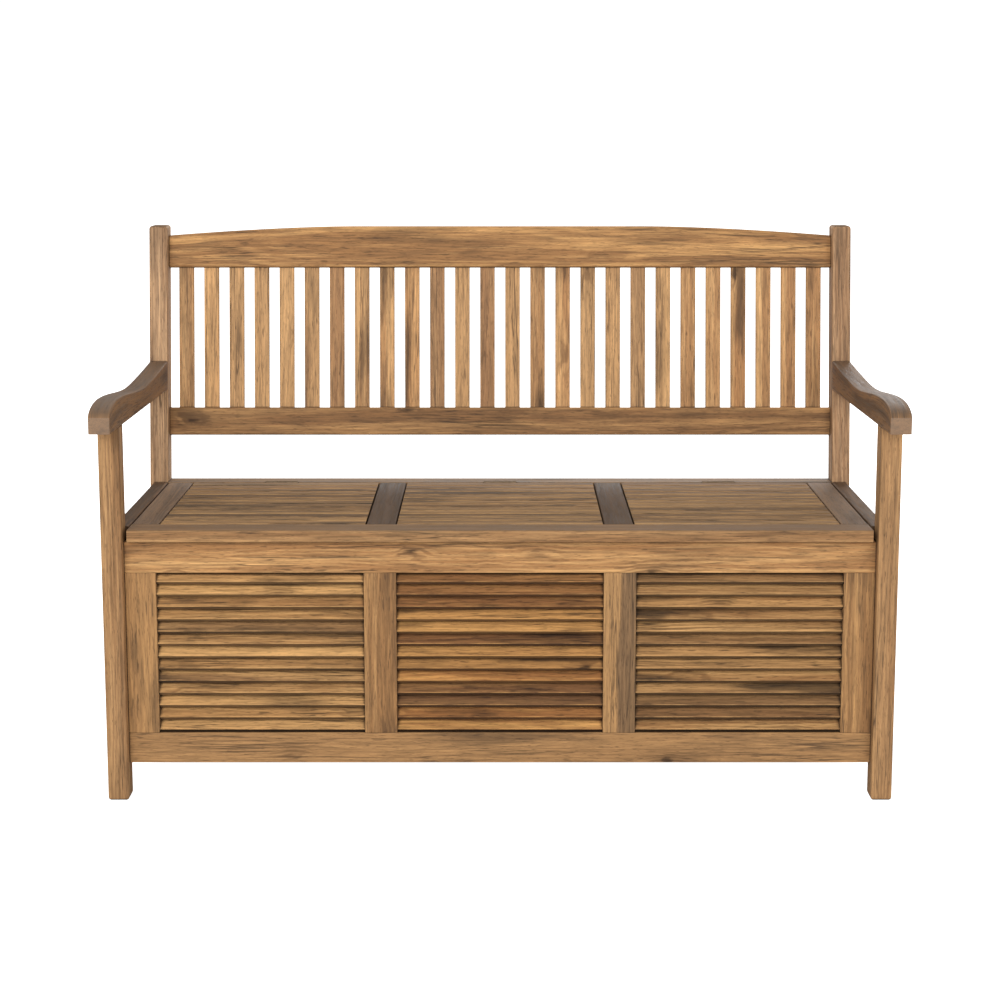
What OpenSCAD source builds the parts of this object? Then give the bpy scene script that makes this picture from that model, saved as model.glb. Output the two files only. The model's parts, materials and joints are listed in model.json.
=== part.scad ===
// Outdoor storage bench: a slatted seat lid hinged over a louvred box, with arms and a slatted back.
// Millimetres. +X runs along the bench, -Y is the front and +Z is up.
// Lengths named _y below are measured back from the front faces of the front legs.

/* [Overall] */
// Width over the outer faces of the front legs
bench_w = 1296; // [1080:1:1560]
// Height of the back posts
bench_h = 918; // [860:1:1104]
// Height of the closed lid's top face
seat_h = 454; // [430:1:545]
// From the front faces of the legs to the front faces of the back posts
seat_d = 482; // [402:1:580]
// Lean of the backrest from upright, in degrees
back_lean = 8.2; // [2:0.1:14]

/* [Legs and posts] */
// Width of a front leg along X
leg_w = 34; // [28:1:60]
// Depth of a front leg along Y
leg_d = 44; // [30:1:60]
// Height of the arms' undersides
arm_z = 622; // [590:1:700]
// Width of a back post along X
post_w = 33; // [28:1:50]
// Depth of a back post along Y
post_d = 48; // [42:1:70]
// How far the posts' outer faces stand inside the legs' outer faces
post_inset = 6.5; // [5.5:0.5:12]

/* [Arms] */
// How far an arm reaches in front of the legs
arm_nose = 72; // [30:1:110]
// Mean thickness of an arm
arm_t = 40.5; // [30:0.5:60]
// Half the rise and fall of an arm's top
arm_wave = 6.5; // [0:0.5:12]
// Height of an arm's upright front face
arm_front_h = 26; // [8:1:32]
// How much higher an arm's top is at the post than over the leg
arm_rise = 4.5; // [0:0.5:12]

/* [Backrest] */
// Thickness of the crest rail and the lower back rail
back_rail_t = 24; // [18:1:30]
// Set-back of the two back rails from the posts' front faces
back_rail_set = 20; // [5:1:22]
// Height of the crest rail at its middle
crest_h = 75; // [50:1:100]
// Fall of the crest rail's top from its middle to its ends
crest_drop = 17; // [0:1:30]
// Half the length of the crest rail's straight top
crest_flat = 270; // [100:5:400]
// Height of the lower back rail
lower_rail_h = 51; // [35:1:70]
// Clear height from the seat to the lower back rail
lower_rail_gap = 87; // [50:1:120]
// Number of upright back slats
back_slat_n = 26; // [12:1:32]
// Width of a back slat
back_slat_w = 27; // [15:1:30]
// Thickness of a back slat
back_slat_t = 12; // [8:1:18]

/* [Louvred panels] */
// Thickness of the panels' rails and stiles
panel_t = 24; // [20:1:30]
// Set-back of the front panel from the legs' front faces
panel_set = 18; // [4:1:19]
// Height of the bottom rails above the ground
foot_h = 60; // [30:1:90]
// Height of a bottom rail
bottom_rail_h = 51; // [40:1:80]
// Height of the front top rail
top_rail_h = 51; // [40:1:80]
// Width of an end stile on the front and the back
end_stile_w = 51; // [35:1:80]
// Width of a middle stile
mid_stile_w = 53; // [35:1:80]
// Half the distance between the two middle stiles
mid_field = 170; // [120:1:200]
// Width of a stile on the bench's two ends
side_stile_w = 40; // [30:1:60]
// Number of louvres in one opening
louvre_n = 13; // [8:1:16]
// Width of a louvre
louvre_w = 21; // [18:1:25]
// Thickness of a louvre
louvre_t = 8; // [5:1:8]
// Lean of a louvre from upright, in degrees
louvre_lean = 44; // [28:1:48]
// How deep a louvre sits in its stile
louvre_house = 6; // [4:1:10]

/* [Seat frame] */
// Thickness of the side rails beside the lid
side_rail_t = 26; // [24:1:32]
// Height of the fixed rail behind the lid
rear_rail_h = 38; // [36:1:60]
// Gap between the lid's ends and the side rails
lid_side_gap = 2.5; // [2:0.5:6]
// Clear height between the lid and the front top rail
lid_under_gap = 2; // [1:0.5:6]
// Clear height between the closed lid and its ledgers
lid_rest_gap = 0.3; // [0.2:0.1:1]
// Width and height of the ledgers under the lid's ends
lid_ledger = 15; // [10:1:25]

/* [Lid] */
// Thickness of the lid frame
lid_t = 20; // [18:1:28]
// Set-back of the lid's front edge from the legs' front faces
lid_front_y = 4; // [0:1:12]
// Depth of the lid's front rail
lid_rail_d = 58; // [40:1:80]
// Width of the lid's end stiles
lid_end_w = 44; // [35:1:70]
// Width of the lid's middle stiles
lid_mid_w = 48; // [35:1:70]
// Half the length of the lid's middle slats
lid_mid_field = 172; // [120:1:200]
// Number of slats in one field of the lid
lid_slat_n = 13; // [8:1:16]
// Thickness of a lid slat
lid_slat_t = 14; // [12:1:16]
// Gap between lid slats
lid_slat_gap = 4; // [2:0.5:8]
// Width of the batten under the lid's back edge
batten_w = 45; // [30:1:60]
// Height of the batten under the lid's back edge
batten_h = 18; // [15:1:22]

/* [Floor] */
// Number of floor slats
floor_slat_n = 14; // [8:1:16]
// Thickness of a floor slat
floor_slat_t = 12; // [8:1:18]
// Gap between floor slats
floor_gap = 13; // [6:1:25]
// Width and height of a floor ledger
floor_ledger = 20; // [15:1:30]

/* [Hinges] */
// Length of a hinge
hinge_l = 60; // [50:1:90]
// Distance of the outer hinges from the middle one
hinge_pitch = 400; // [300:5:420]
// Thickness of a hinge leaf
leaf_t = 1.6; // [1.2:0.1:2]
// Gap between the folded leaves
leaf_gap = 0.6; // [0.4:0.1:1.5]
// Outer radius of the knuckles
knuckle_r = 3.2; // [3:0.1:4]
// Radius of the hinge pin
pin_r = 1.5; // [1.2:0.1:1.8]
// Radial clearance between the pin and the lid's knuckles
pin_fit = 0.05; // [0.02:0.01:0.1]
// Depth of the pin's axis below the lid's top face
axis_drop = 0.5; // [0:0.1:1]
// Radius of a screw's shank
screw_r = 1.6; // [1.2:0.1:2]
// Length of a screw
screw_l = 16; // [10:1:20]

/* [Joints] */
// Length of the tenons on the rails
tenon_l = 12; // [8:1:16]
// Thickness of the tenons on the rails
tenon_t = 10; // [6:1:12]
// Shoulder above and below a tenon
shoulder = 8; // [4:1:10]
// Length of the tenons on the stiles
stile_tenon_l = 10; // [6:1:14]
// Thickness of the tongues on the lid's slats
tongue_t = 6; // [4:1:8]
// Length of the tongues on the lid's slats
tongue_l = 8; // [5:1:12]

/* [Hidden] */

// Small overlap that keeps a cut clear of the face it opens
cut = 1;
// Colours of the wood and the hardware
front_wood = [0.74, 0.54, 0.35];
frame_wood = [0.68, 0.49, 0.31];
lid_wood = [0.55, 0.45, 0.35];
steel = [0.45, 0.43, 0.40];

// Legs, posts and the lines between them
leg_out = bench_w / 2;
leg_in = leg_out - leg_w;
post_out = leg_out - post_inset;
post_in = post_out - post_w;
post_y = seat_d;
lean_run = (bench_h - seat_h) * tan(back_lean);
back_end_y = post_y + lean_run + post_d;
middle_y = (back_end_y - arm_nose) / 2;

// Side rails stand flush with the posts' inner faces and a little past the legs'
side_in = post_in + 0.5;
side_out = side_in + side_rail_t;
lid_half = side_in - lid_side_gap;

// Heights of the panels
field_z0 = foot_h + bottom_rail_h;
lid_z = seat_h - lid_t;
front_top_z = lid_z - lid_under_gap;
field_z1 = front_top_z - top_rail_h;
louvre_rise = louvre_w * cos(louvre_lean) + louvre_t * sin(louvre_lean);
louvre_pitch = (field_z1 - field_z0 - louvre_rise) / (louvre_n - 1);
mid_stile_out = mid_field + mid_stile_w;
rear_rail_z = seat_h - rear_rail_h;

// The back panel stands between the posts, its outer face a little inside theirs
back_panel_reveal = 6;
back_panel_y = post_y + post_d - back_panel_reveal;
side_mid_y = (leg_d + post_y) / 2;
side_half = (post_y - leg_d) / 2;
// The end panels' tenons stop short of the front panel's inside the legs
side_tenon_l = leg_d - panel_set - (panel_t + tenon_t) / 2 - 1;

// Lid and hinge line
joint_gap = 2 * leaf_t + leaf_gap;
axis_y = post_y - joint_gap / 2;
axis_z = seat_h - axis_drop;
lid_back_y = post_y - joint_gap;
lid_field_y = lid_front_y + lid_rail_d;
lid_pitch = (lid_back_y - lid_field_y) / lid_slat_n;
lid_field_end = lid_half - lid_end_w;
lid_mid_out = lid_mid_field + lid_mid_w;
batten_half = lid_half - 8;
groove_z = seat_h - lid_slat_t / 2 - tongue_t / 2;

// Backrest heights measured up the lean, from the seat
crest_top = (bench_h - 1 - seat_h) / cos(back_lean) + back_rail_set * tan(back_lean);
crest_bottom = crest_top - crest_h;
lower_bottom = lower_rail_gap;
lower_top = lower_bottom + lower_rail_h;
back_slat_pitch = 2 * post_in / (back_slat_n + 0.35);

// Hinge leaves and their five knuckles
leaf_h = rear_rail_h - 4;
knuckle_n = 5;
knuckle_l = hinge_l / knuckle_n;
knuckle_gap = 0.4;
screw_pitch = hinge_l / 3;
screw_drop = lid_t + batten_h / 2;
screw_head_r = 2 * screw_r;
head_h = leaf_t - 0.2;

// A box between two corners
module block(x0, x1, y0, y1, z0, z1) {
    translate([x0, y0, z0]) cube([x1 - x0, y1 - y0, z1 - z0]);
}

// The bench stands with its bounding box centred on the origin
module placed() {
    translate([0, -middle_y, 0]) children();
}

// The same shape at both ends of the bench
module both() {
    children();
    mirror([1, 0, 0]) children();
}

module left_hand() {
    mirror([1, 0, 0]) children();
}

// Frame that leans with the backrest: y is depth behind the posts' front faces
module leaning() {
    translate([0, post_y, seat_h]) rotate([-back_lean, 0, 0]) children();
}

// An outline in (y, z) carried along X from x0 to x1
module side_profile(points, x0, x1) {
    translate([x0, 0, 0]) rotate([90, 0, 90]) linear_extrude(x1 - x0) polygon(points);
}

// ---- Panels, in a frame with y inwards from the outer face ----

// Tenons at both ends of a rail that is 2 * half long
module rail_tenons(half, z0, z1, l = tenon_l) {
    both() block(half - cut, half + l, (panel_t - tenon_t) / 2, (panel_t + tenon_t) / 2,
                 z0 + shoulder, z1 - shoulder);
}

module rail(half, z0, z1, t = panel_t, l = tenon_l) {
    block(-half, half, 0, t, z0, z1);
    rail_tenons(half, z0, z1, l);
}

// Tenons above and below a stile
module stile_tenons(x0, x1) {
    block(x0 + shoulder, x1 - shoulder, (panel_t - tenon_t) / 2, (panel_t + tenon_t) / 2,
          field_z0 - stile_tenon_l, field_z1 + stile_tenon_l);
}

module stile(x0, x1) {
    block(x0, x1, 0, panel_t, field_z0, field_z1);
    stile_tenons(x0, x1);
}

// Leaning louvres between two stiles, lower edges outwards, ends housed in the stiles
module louvres(x0, x1) {
    for (i = [0 : louvre_n - 1]) {
        translate([x0 - louvre_house, panel_t / 2, field_z0 + louvre_rise / 2 + i * louvre_pitch])
            rotate([-louvre_lean, 0, 0])
                translate([0, -louvre_t / 2, -louvre_w / 2])
                    cube([x1 - x0 + 2 * louvre_house, louvre_t, louvre_w]);
    }
}

// Stile positions of a three-field panel
module middle_stile_tenons() {
    both() stile_tenons(mid_field, mid_stile_out);
}

module front_panel_frame() {
    translate([0, panel_set, 0]) children();
}

module back_panel_frame() {
    translate([0, back_panel_y, 0]) rotate([0, 0, 180]) children();
}

module side_panel_frame() {
    translate([side_out, side_mid_y, 0]) rotate([0, 0, 90]) children();
}

// Tenons that enter the legs and the posts
module front_rail_tenons() {
    front_panel_frame() {
        rail_tenons(leg_in, foot_h, field_z0);
        rail_tenons(leg_in, field_z1, front_top_z);
    }
}

module back_rail_tenons() {
    back_panel_frame() {
        rail_tenons(post_in, foot_h, field_z0);
        rail_tenons(post_in, field_z1, rear_rail_z);
    }
    rear_seat_tenons();
}

module side_rail_tenons() {
    side_panel_frame() {
        rail_tenons(side_half, foot_h, field_z0, side_tenon_l);
        rail_tenons(side_half, field_z1, seat_h, side_tenon_l);
    }
}

// ---- Legs, posts and arms, drawn for the +X end ----

module leg_tenon() {
    block(leg_in + shoulder, leg_out - shoulder, shoulder, leg_d - shoulder, arm_z - cut, arm_z + tenon_l);
}

module front_leg() {
    color(front_wood) placed() {
        difference() {
            block(leg_in, leg_out, 0, leg_d, 0, arm_z);
            front_rail_tenons();
            side_rail_tenons();
        }
        leg_tenon();
    }
}

module back_post() {
    color(front_wood) placed() difference() {
        side_profile([
            [post_y, 0],
            [post_y + post_d, 0],
            [post_y + post_d, seat_h],
            [back_end_y, bench_h],
            [post_y + lean_run, bench_h],
            [post_y, seat_h],
        ], post_in, post_out);
        back_rail_tenons();
        side_rail_tenons();
        backrest_tenons();
        arm_tenon();
    }
}

// Where the leaning front face of a post stands at height z
function post_face(z) = post_y + (z - seat_h) * tan(back_lean);

// An arm's inner and outer face at a distance back from the legs
function arm_inner(y) = leg_in + (post_in - leg_in) * y / post_face(arm_z);
function arm_outer(y) = leg_out + (post_out - leg_out) * y / post_face(arm_z);

// Top of an arm: half a wave falls from the hump over the leg to a low middle, then it climbs to the post
arm_hump_y = 10;
arm_steps = 24;
nose_steps = 12;
arm_end_z = arm_z + arm_t + arm_wave + arm_rise;
arm_end_y = post_face(arm_end_z);
arm_run = arm_end_y - arm_hump_y;
arm_climb = 1.35;
function arm_top(share) = arm_z + arm_t + (share < 0.5
    ? arm_wave * cos(360 * share)
    : (2 * arm_wave + arm_rise) * pow(2 * share - 1, arm_climb) - arm_wave);

// Quarter ellipse from the hump down to the upright front face
nose_l = arm_nose + arm_hump_y;
nose_h = arm_t + arm_wave - arm_front_h;
nose_points = [for (i = [0 : nose_steps]) let (a = 90 * i / nose_steps)
    [arm_hump_y - nose_l * cos(a), arm_z + arm_front_h + nose_h * sin(a)]];
wave_points = [for (i = [1 : arm_steps]) let (share = i / arm_steps)
    [arm_hump_y + arm_run * share, arm_top(share)]];

module arm_tenon() {
    z0 = arm_z + shoulder;
    z1 = z0 + arm_t - 2 * shoulder;
    y0 = post_face(z0) - cut;
    block(post_in + shoulder, post_out - shoulder, y0, post_face(z1) + tenon_l, z0, z1);
}

module armrest() {
    color(lid_wood) placed() {
        difference() {
            intersection() {
                side_profile(concat(
                    [[-arm_nose, arm_z]],
                    nose_points,
                    wave_points,
                    [[post_face(arm_z), arm_z]]
                ), 0, leg_out + leg_w);
                translate([0, 0, arm_z - cut]) linear_extrude(2 * arm_t) polygon([
                    [arm_inner(-arm_nose), -arm_nose],
                    [arm_outer(-arm_nose), -arm_nose],
                    [arm_outer(arm_end_y), arm_end_y],
                    [arm_inner(arm_end_y), arm_end_y],
                ]);
            }
            leg_tenon();
        }
        difference() {
            arm_tenon();
            side_profile([
                [0, arm_z - cut],
                [post_face(arm_z - cut) - cut / 2, arm_z - cut],
                [post_face(bench_h) - cut / 2, bench_h],
                [0, bench_h],
            ], 0, leg_out);
        }
    }
}

// ---- Backrest, in the leaning frame ----

back_rail_mid = back_rail_set + back_rail_t / 2;

module backrest_tenons() {
    leaning() both() {
        block(post_in - cut, post_in + tenon_l, back_rail_mid - tenon_t / 2, back_rail_mid + tenon_t / 2,
              lower_bottom + shoulder, lower_top - shoulder);
        block(post_in - cut, post_in + tenon_l, back_rail_mid - tenon_t / 2, back_rail_mid + tenon_t / 2,
              crest_bottom + shoulder, crest_top - crest_drop - shoulder);
    }
}

module slats_of_back() {
    for (i = [0 : back_slat_n - 1]) {
        translate([(i - (back_slat_n - 1) / 2) * back_slat_pitch, 0, 0])
            block(-back_slat_w / 2, back_slat_w / 2, back_rail_mid - back_slat_t / 2,
                  back_rail_mid + back_slat_t / 2, lower_top - tenon_l, crest_bottom + tenon_l);
    }
}

// Fall of the crest's top at a distance along the bench from its middle
function crest_fall(x) = crest_drop * pow(max(0, abs(x) - crest_flat) / (post_in - crest_flat), 1.6);

crest_steps = 16;
crest_curve = [for (i = [0 : crest_steps]) let (x = post_in - (post_in - crest_flat) * i / crest_steps)
    [x, crest_top - crest_fall(x)]];

module crest_rail() {
    color(frame_wood) placed() {
        leaning() difference() {
            translate([0, back_rail_set + back_rail_t, 0]) rotate([90, 0, 0]) linear_extrude(back_rail_t)
                polygon(concat(
                    [[-post_in, crest_bottom], [post_in, crest_bottom]],
                    crest_curve,
                    [for (i = [crest_steps : -1 : 0]) [-crest_curve[i][0], crest_curve[i][1]]]
                ));
            slats_of_back();
        }
        intersection() {
            backrest_tenons();
            leaning() block(-leg_out, leg_out, 0, post_d, crest_bottom, crest_top);
        }
    }
}

module lower_back_rail() {
    color(frame_wood) placed() {
        leaning() difference() {
            block(-post_in, post_in, back_rail_set, back_rail_set + back_rail_t, lower_bottom, lower_top);
            slats_of_back();
        }
        intersection() {
            backrest_tenons();
            leaning() block(-leg_out, leg_out, 0, post_d, lower_bottom, lower_top);
        }
    }
}

module back_slats() {
    color(front_wood) placed() leaning() slats_of_back();
}

// ---- Front panel ----

module front_top_rail() {
    color(front_wood) placed() front_panel_frame() difference() {
        rail(leg_in, field_z1, front_top_z);
        middle_stile_tenons();
        both() stile_tenons(leg_in - end_stile_w, leg_in);
    }
}

module front_bottom_rail() {
    color(front_wood) placed() front_panel_frame() difference() {
        rail(leg_in, foot_h, field_z0);
        middle_stile_tenons();
        both() stile_tenons(leg_in - end_stile_w, leg_in);
    }
}

module front_end_stile() {
    color(front_wood) placed() front_panel_frame() difference() {
        stile(leg_in - end_stile_w, leg_in);
        louvres(mid_stile_out, leg_in - end_stile_w);
    }
}

module front_middle_stile() {
    color(front_wood) placed() front_panel_frame() difference() {
        stile(mid_field, mid_stile_out);
        louvres(mid_stile_out, leg_in - end_stile_w);
        louvres(-mid_field, mid_field);
    }
}

module front_louvres_outer() {
    color(front_wood) placed() front_panel_frame() louvres(mid_stile_out, leg_in - end_stile_w);
}

module front_louvres_middle() {
    color(front_wood) placed() front_panel_frame() louvres(-mid_field, mid_field);
}

// ---- Back panel ----

module back_top_rail() {
    color(frame_wood) placed() back_panel_frame() difference() {
        rail(post_in, field_z1, rear_rail_z);
        middle_stile_tenons();
        both() stile_tenons(post_in - end_stile_w, post_in);
    }
}

module back_bottom_rail() {
    color(frame_wood) placed() back_panel_frame() difference() {
        rail(post_in, foot_h, field_z0);
        middle_stile_tenons();
        both() stile_tenons(post_in - end_stile_w, post_in);
    }
}

module back_end_stile() {
    color(frame_wood) placed() back_panel_frame() left_hand() difference() {
        stile(post_in - end_stile_w, post_in);
        louvres(mid_stile_out, post_in - end_stile_w);
    }
}

module back_middle_stile() {
    color(frame_wood) placed() back_panel_frame() left_hand() difference() {
        stile(mid_field, mid_stile_out);
        louvres(mid_stile_out, post_in - end_stile_w);
        louvres(-mid_field, mid_field);
    }
}

module back_louvres_outer() {
    color(front_wood) placed() back_panel_frame() left_hand() louvres(mid_stile_out, post_in - end_stile_w);
}

module back_louvres_middle() {
    color(front_wood) placed() back_panel_frame() louvres(-mid_field, mid_field);
}

// ---- End panels, drawn for the +X end ----

module side_stile_tenons() {
    both() stile_tenons(side_half - side_stile_w, side_half);
}

module side_top_rail() {
    color(lid_wood) placed() side_panel_frame() difference() {
        rail(side_half, field_z1, seat_h, side_rail_t, side_tenon_l);
        side_stile_tenons();
    }
}

module side_bottom_rail() {
    color(frame_wood) placed() side_panel_frame() difference() {
        rail(side_half, foot_h, field_z0, panel_t, side_tenon_l);
        side_stile_tenons();
    }
}

module side_stiles() {
    color(frame_wood) placed() side_panel_frame() difference() {
        both() stile(side_half - side_stile_w, side_half);
        louvres(side_stile_w - side_half, side_half - side_stile_w);
    }
}

module side_louvres() {
    color(front_wood) placed() side_panel_frame() louvres(side_stile_w - side_half, side_half - side_stile_w);
}

// ---- Seat frame and floor ----

module rear_seat_tenons() {
    both() block(post_in - cut, post_in + tenon_l, post_y + (post_d - tenon_t) / 2, post_y + (post_d + tenon_t) / 2,
                 rear_rail_z + shoulder, seat_h - shoulder);
}

module rear_seat_rail() {
    color(lid_wood) placed() {
        difference() {
            block(-post_in, post_in, post_y, post_y + post_d, rear_rail_z, seat_h);
            knuckle_notches();
            frame_screws();
        }
        rear_seat_tenons();
    }
}

module lid_ledgers() {
    color(frame_wood) placed() both()
        block(side_in - lid_ledger, side_in, leg_d, lid_back_y - batten_w - lid_ledger,
              lid_z - lid_rest_gap - lid_ledger, lid_z - lid_rest_gap);
}

// The floor lies on two ledgers, between the inner faces of the front and back panels
floor_front_y = panel_set + panel_t;
floor_back_y = back_panel_y - panel_t;
floor_half = side_out - panel_t - 4;
floor_pitch = (2 * floor_half + floor_gap) / floor_slat_n;
floor_ledger_z = field_z0 - floor_ledger - floor_slat_t;

module floor_ledgers() {
    color(frame_wood) placed() {
        block(-floor_half, floor_half, floor_front_y, floor_front_y + floor_ledger,
              floor_ledger_z, floor_ledger_z + floor_ledger);
        block(-floor_half, floor_half, floor_back_y - floor_ledger, floor_back_y,
              floor_ledger_z, floor_ledger_z + floor_ledger);
    }
}

module floor_slats() {
    color(frame_wood) placed() for (i = [0 : floor_slat_n - 1]) {
        x = -floor_half + i * floor_pitch;
        block(x, x + floor_pitch - floor_gap, floor_front_y, floor_back_y,
              floor_ledger_z + floor_ledger, floor_ledger_z + floor_ledger + floor_slat_t);
    }
}

// ---- Lid ----

// Tenons on the front ends of the lid's stiles
module lid_stile_tenon(x0, x1) {
    block(x0 + shoulder, x1 - shoulder, lid_field_y - tenon_l, lid_field_y + cut,
          lid_z + (lid_t - tongue_t) / 2, lid_z + (lid_t + tongue_t) / 2);
}

module lid_front_rail() {
    color(lid_wood) placed() difference() {
        block(-lid_half, lid_half, lid_front_y, lid_field_y, lid_z, seat_h);
        both() lid_stile_tenon(lid_field_end, lid_half);
        both() lid_stile_tenon(lid_mid_field, lid_mid_out);
    }
}

// Groove for the slats' tongues along one edge of a stile
module lid_groove(x0, x1) {
    block(x0, x1, lid_field_y - cut, lid_back_y + cut, groove_z, groove_z + tongue_t);
}

module lid_end_stile() {
    color(lid_wood) placed() {
        difference() {
            block(lid_field_end, lid_half, lid_field_y, lid_back_y, lid_z, seat_h);
            lid_groove(lid_field_end - cut, lid_field_end + tongue_l);
        }
        lid_stile_tenon(lid_field_end, lid_half);
    }
}

module lid_middle_stile() {
    color(lid_wood) placed() {
        difference() {
            block(lid_mid_field, lid_mid_out, lid_field_y, lid_back_y, lid_z, seat_h);
            lid_groove(lid_mid_field - cut, lid_mid_field + tongue_l);
            lid_groove(lid_mid_out - tongue_l, lid_mid_out + cut);
        }
        lid_stile_tenon(lid_mid_field, lid_mid_out);
    }
}

// Slats of one field, each with a tongue at both ends
module lid_slats(x0, x1) {
    color(lid_wood) placed() difference() {
        for (i = [0 : lid_slat_n - 1]) {
            y0 = lid_field_y + i * lid_pitch + lid_slat_gap;
            y1 = lid_field_y + (i + 1) * lid_pitch;
            block(x0, x1, y0, y1, seat_h - lid_slat_t, seat_h);
            block(x0 - tongue_l, x1 + tongue_l, y0, y1, groove_z, groove_z + tongue_t);
        }
        knuckle_notches();
    }
}

module lid_back_batten() {
    color(lid_wood) placed() difference() {
        block(-batten_half, batten_half, lid_back_y - batten_w, lid_back_y, lid_z - batten_h, lid_z);
        lid_screws();
    }
}

// ---- Hinges ----

module at_each_hinge() {
    for (x = [-hinge_pitch, 0, hinge_pitch]) {
        translate([x, axis_y, axis_z]) children();
    }
}

// Room for the knuckles in the edges on both sides of the joint
module knuckle_notches() {
    at_each_hinge() block(-hinge_l / 2 - cut, hinge_l / 2 + cut, -knuckle_r - knuckle_gap, knuckle_r + knuckle_gap,
                          -knuckle_r - knuckle_gap, knuckle_r + cut);
}

// A cylinder along the pin from x0 to x1
module pin_bar(x0, x1, r) {
    translate([x0, 0, 0]) rotate([0, 90, 0]) cylinder(h = x1 - x0, r = r, $fn = 48);
}

// Knuckles number first, first + 2, ... with the strips that join them to their leaf on side s
module knuckles(first, s) {
    for (k = [first : 2 : knuckle_n - 1]) {
        x0 = -hinge_l / 2 + k * knuckle_l + knuckle_gap / 2;
        x1 = x0 + knuckle_l - knuckle_gap;
        pin_bar(x0, x1, knuckle_r);
        block(x0, x1, leaf_face(s), leaf_face(s) + leaf_t, -knuckle_r - knuckle_gap - cut, 0);
    }
}

// Lower y of a leaf: s is -1 on the lid and 1 on the frame
function leaf_face(s) = s > 0 ? leaf_gap / 2 : -leaf_gap / 2 - leaf_t;

// A leaf of a hinge about its pin: s is -1 on the lid, which turns on the pin, and 1 on the frame, which grips it
module leaf(first, s) {
    difference() {
        union() {
            block(-hinge_l / 2, hinge_l / 2, leaf_face(s), leaf_face(s) + leaf_t,
                  -leaf_h, -knuckle_r - knuckle_gap);
            knuckles(first, s);
        }
        pin_bar(-hinge_l, hinge_l, s > 0 ? pin_r : pin_r + pin_fit);
        screw_row(s);
    }
}

// Countersunk screws through a leaf: heads in the leaf's inner face, shanks in the wood
module screw_row(s) {
    for (i = [-1 : 1]) {
        translate([i * screw_pitch, s * leaf_gap / 2, axis_drop - screw_drop]) rotate([-90 * s, 0, 0]) {
            cylinder(h = head_h, r1 = screw_head_r, r2 = screw_r, $fn = 32);
            cylinder(h = screw_l, r = screw_r, $fn = 32);
        }
    }
}

module lid_screws() {
    at_each_hinge() screw_row(-1);
}

module frame_screws() {
    at_each_hinge() screw_row(1);
}

module hinge_leaves_lid() {
    color(steel) placed() at_each_hinge() leaf(1, -1);
}

module hinge_leaves_frame() {
    color(steel) placed() at_each_hinge() leaf(0, 1);
}

module hinge_pins() {
    color(steel) placed() at_each_hinge() pin_bar(-hinge_l / 2, hinge_l / 2, pin_r);
}

module hinge_screws_lid() {
    color(steel) placed() lid_screws();
}

module hinge_screws_frame() {
    color(steel) placed() frame_screws();
}

left_hand() front_leg();  // front_leg_left
front_leg();  // front_leg_right
left_hand() back_post();  // back_post_left
back_post();  // back_post_right
left_hand() armrest();  // armrest_left
armrest();  // armrest_right
crest_rail();
lower_back_rail();
back_slats();
front_top_rail();
front_bottom_rail();
left_hand() front_end_stile();  // front_end_stile_left
front_end_stile();  // front_end_stile_right
left_hand() front_middle_stile();  // front_middle_stile_left
front_middle_stile();  // front_middle_stile_right
left_hand() front_louvres_outer();  // front_louvres_left
front_louvres_middle();
front_louvres_outer();  // front_louvres_right
back_top_rail();
back_bottom_rail();
left_hand() back_end_stile();  // back_end_stile_left
back_end_stile();  // back_end_stile_right
left_hand() back_middle_stile();  // back_middle_stile_left
back_middle_stile();  // back_middle_stile_right
left_hand() back_louvres_outer();  // back_louvres_left
back_louvres_middle();
back_louvres_outer();  // back_louvres_right
left_hand() side_top_rail();  // side_top_rail_left
side_top_rail();  // side_top_rail_right
left_hand() side_bottom_rail();  // side_bottom_rail_left
side_bottom_rail();  // side_bottom_rail_right
left_hand() side_stiles();  // side_stiles_left
side_stiles();  // side_stiles_right
left_hand() side_louvres();  // side_louvres_left
side_louvres();  // side_louvres_right
rear_seat_rail();
lid_ledgers();
floor_ledgers();
floor_slats();
lid_front_rail();
left_hand() lid_end_stile();  // lid_end_stile_left
lid_end_stile();  // lid_end_stile_right
left_hand() lid_middle_stile();  // lid_middle_stile_left
lid_middle_stile();  // lid_middle_stile_right
left_hand() lid_slats(lid_mid_out, lid_field_end);  // lid_slats_left
lid_slats(-lid_mid_field, lid_mid_field);  // lid_slats_middle
lid_slats(lid_mid_out, lid_field_end);  // lid_slats_right
lid_back_batten();
hinge_leaves_lid();
hinge_leaves_frame();
hinge_pins();
hinge_screws_lid();
hinge_screws_frame();
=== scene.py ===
"""Looks of an outdoor storage bench: rounded members, louvres, a hinged slatted lid and its hinges."""

import json
import logging
import math
from collections.abc import Callable
from dataclasses import dataclass, replace
from enum import Enum

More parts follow.
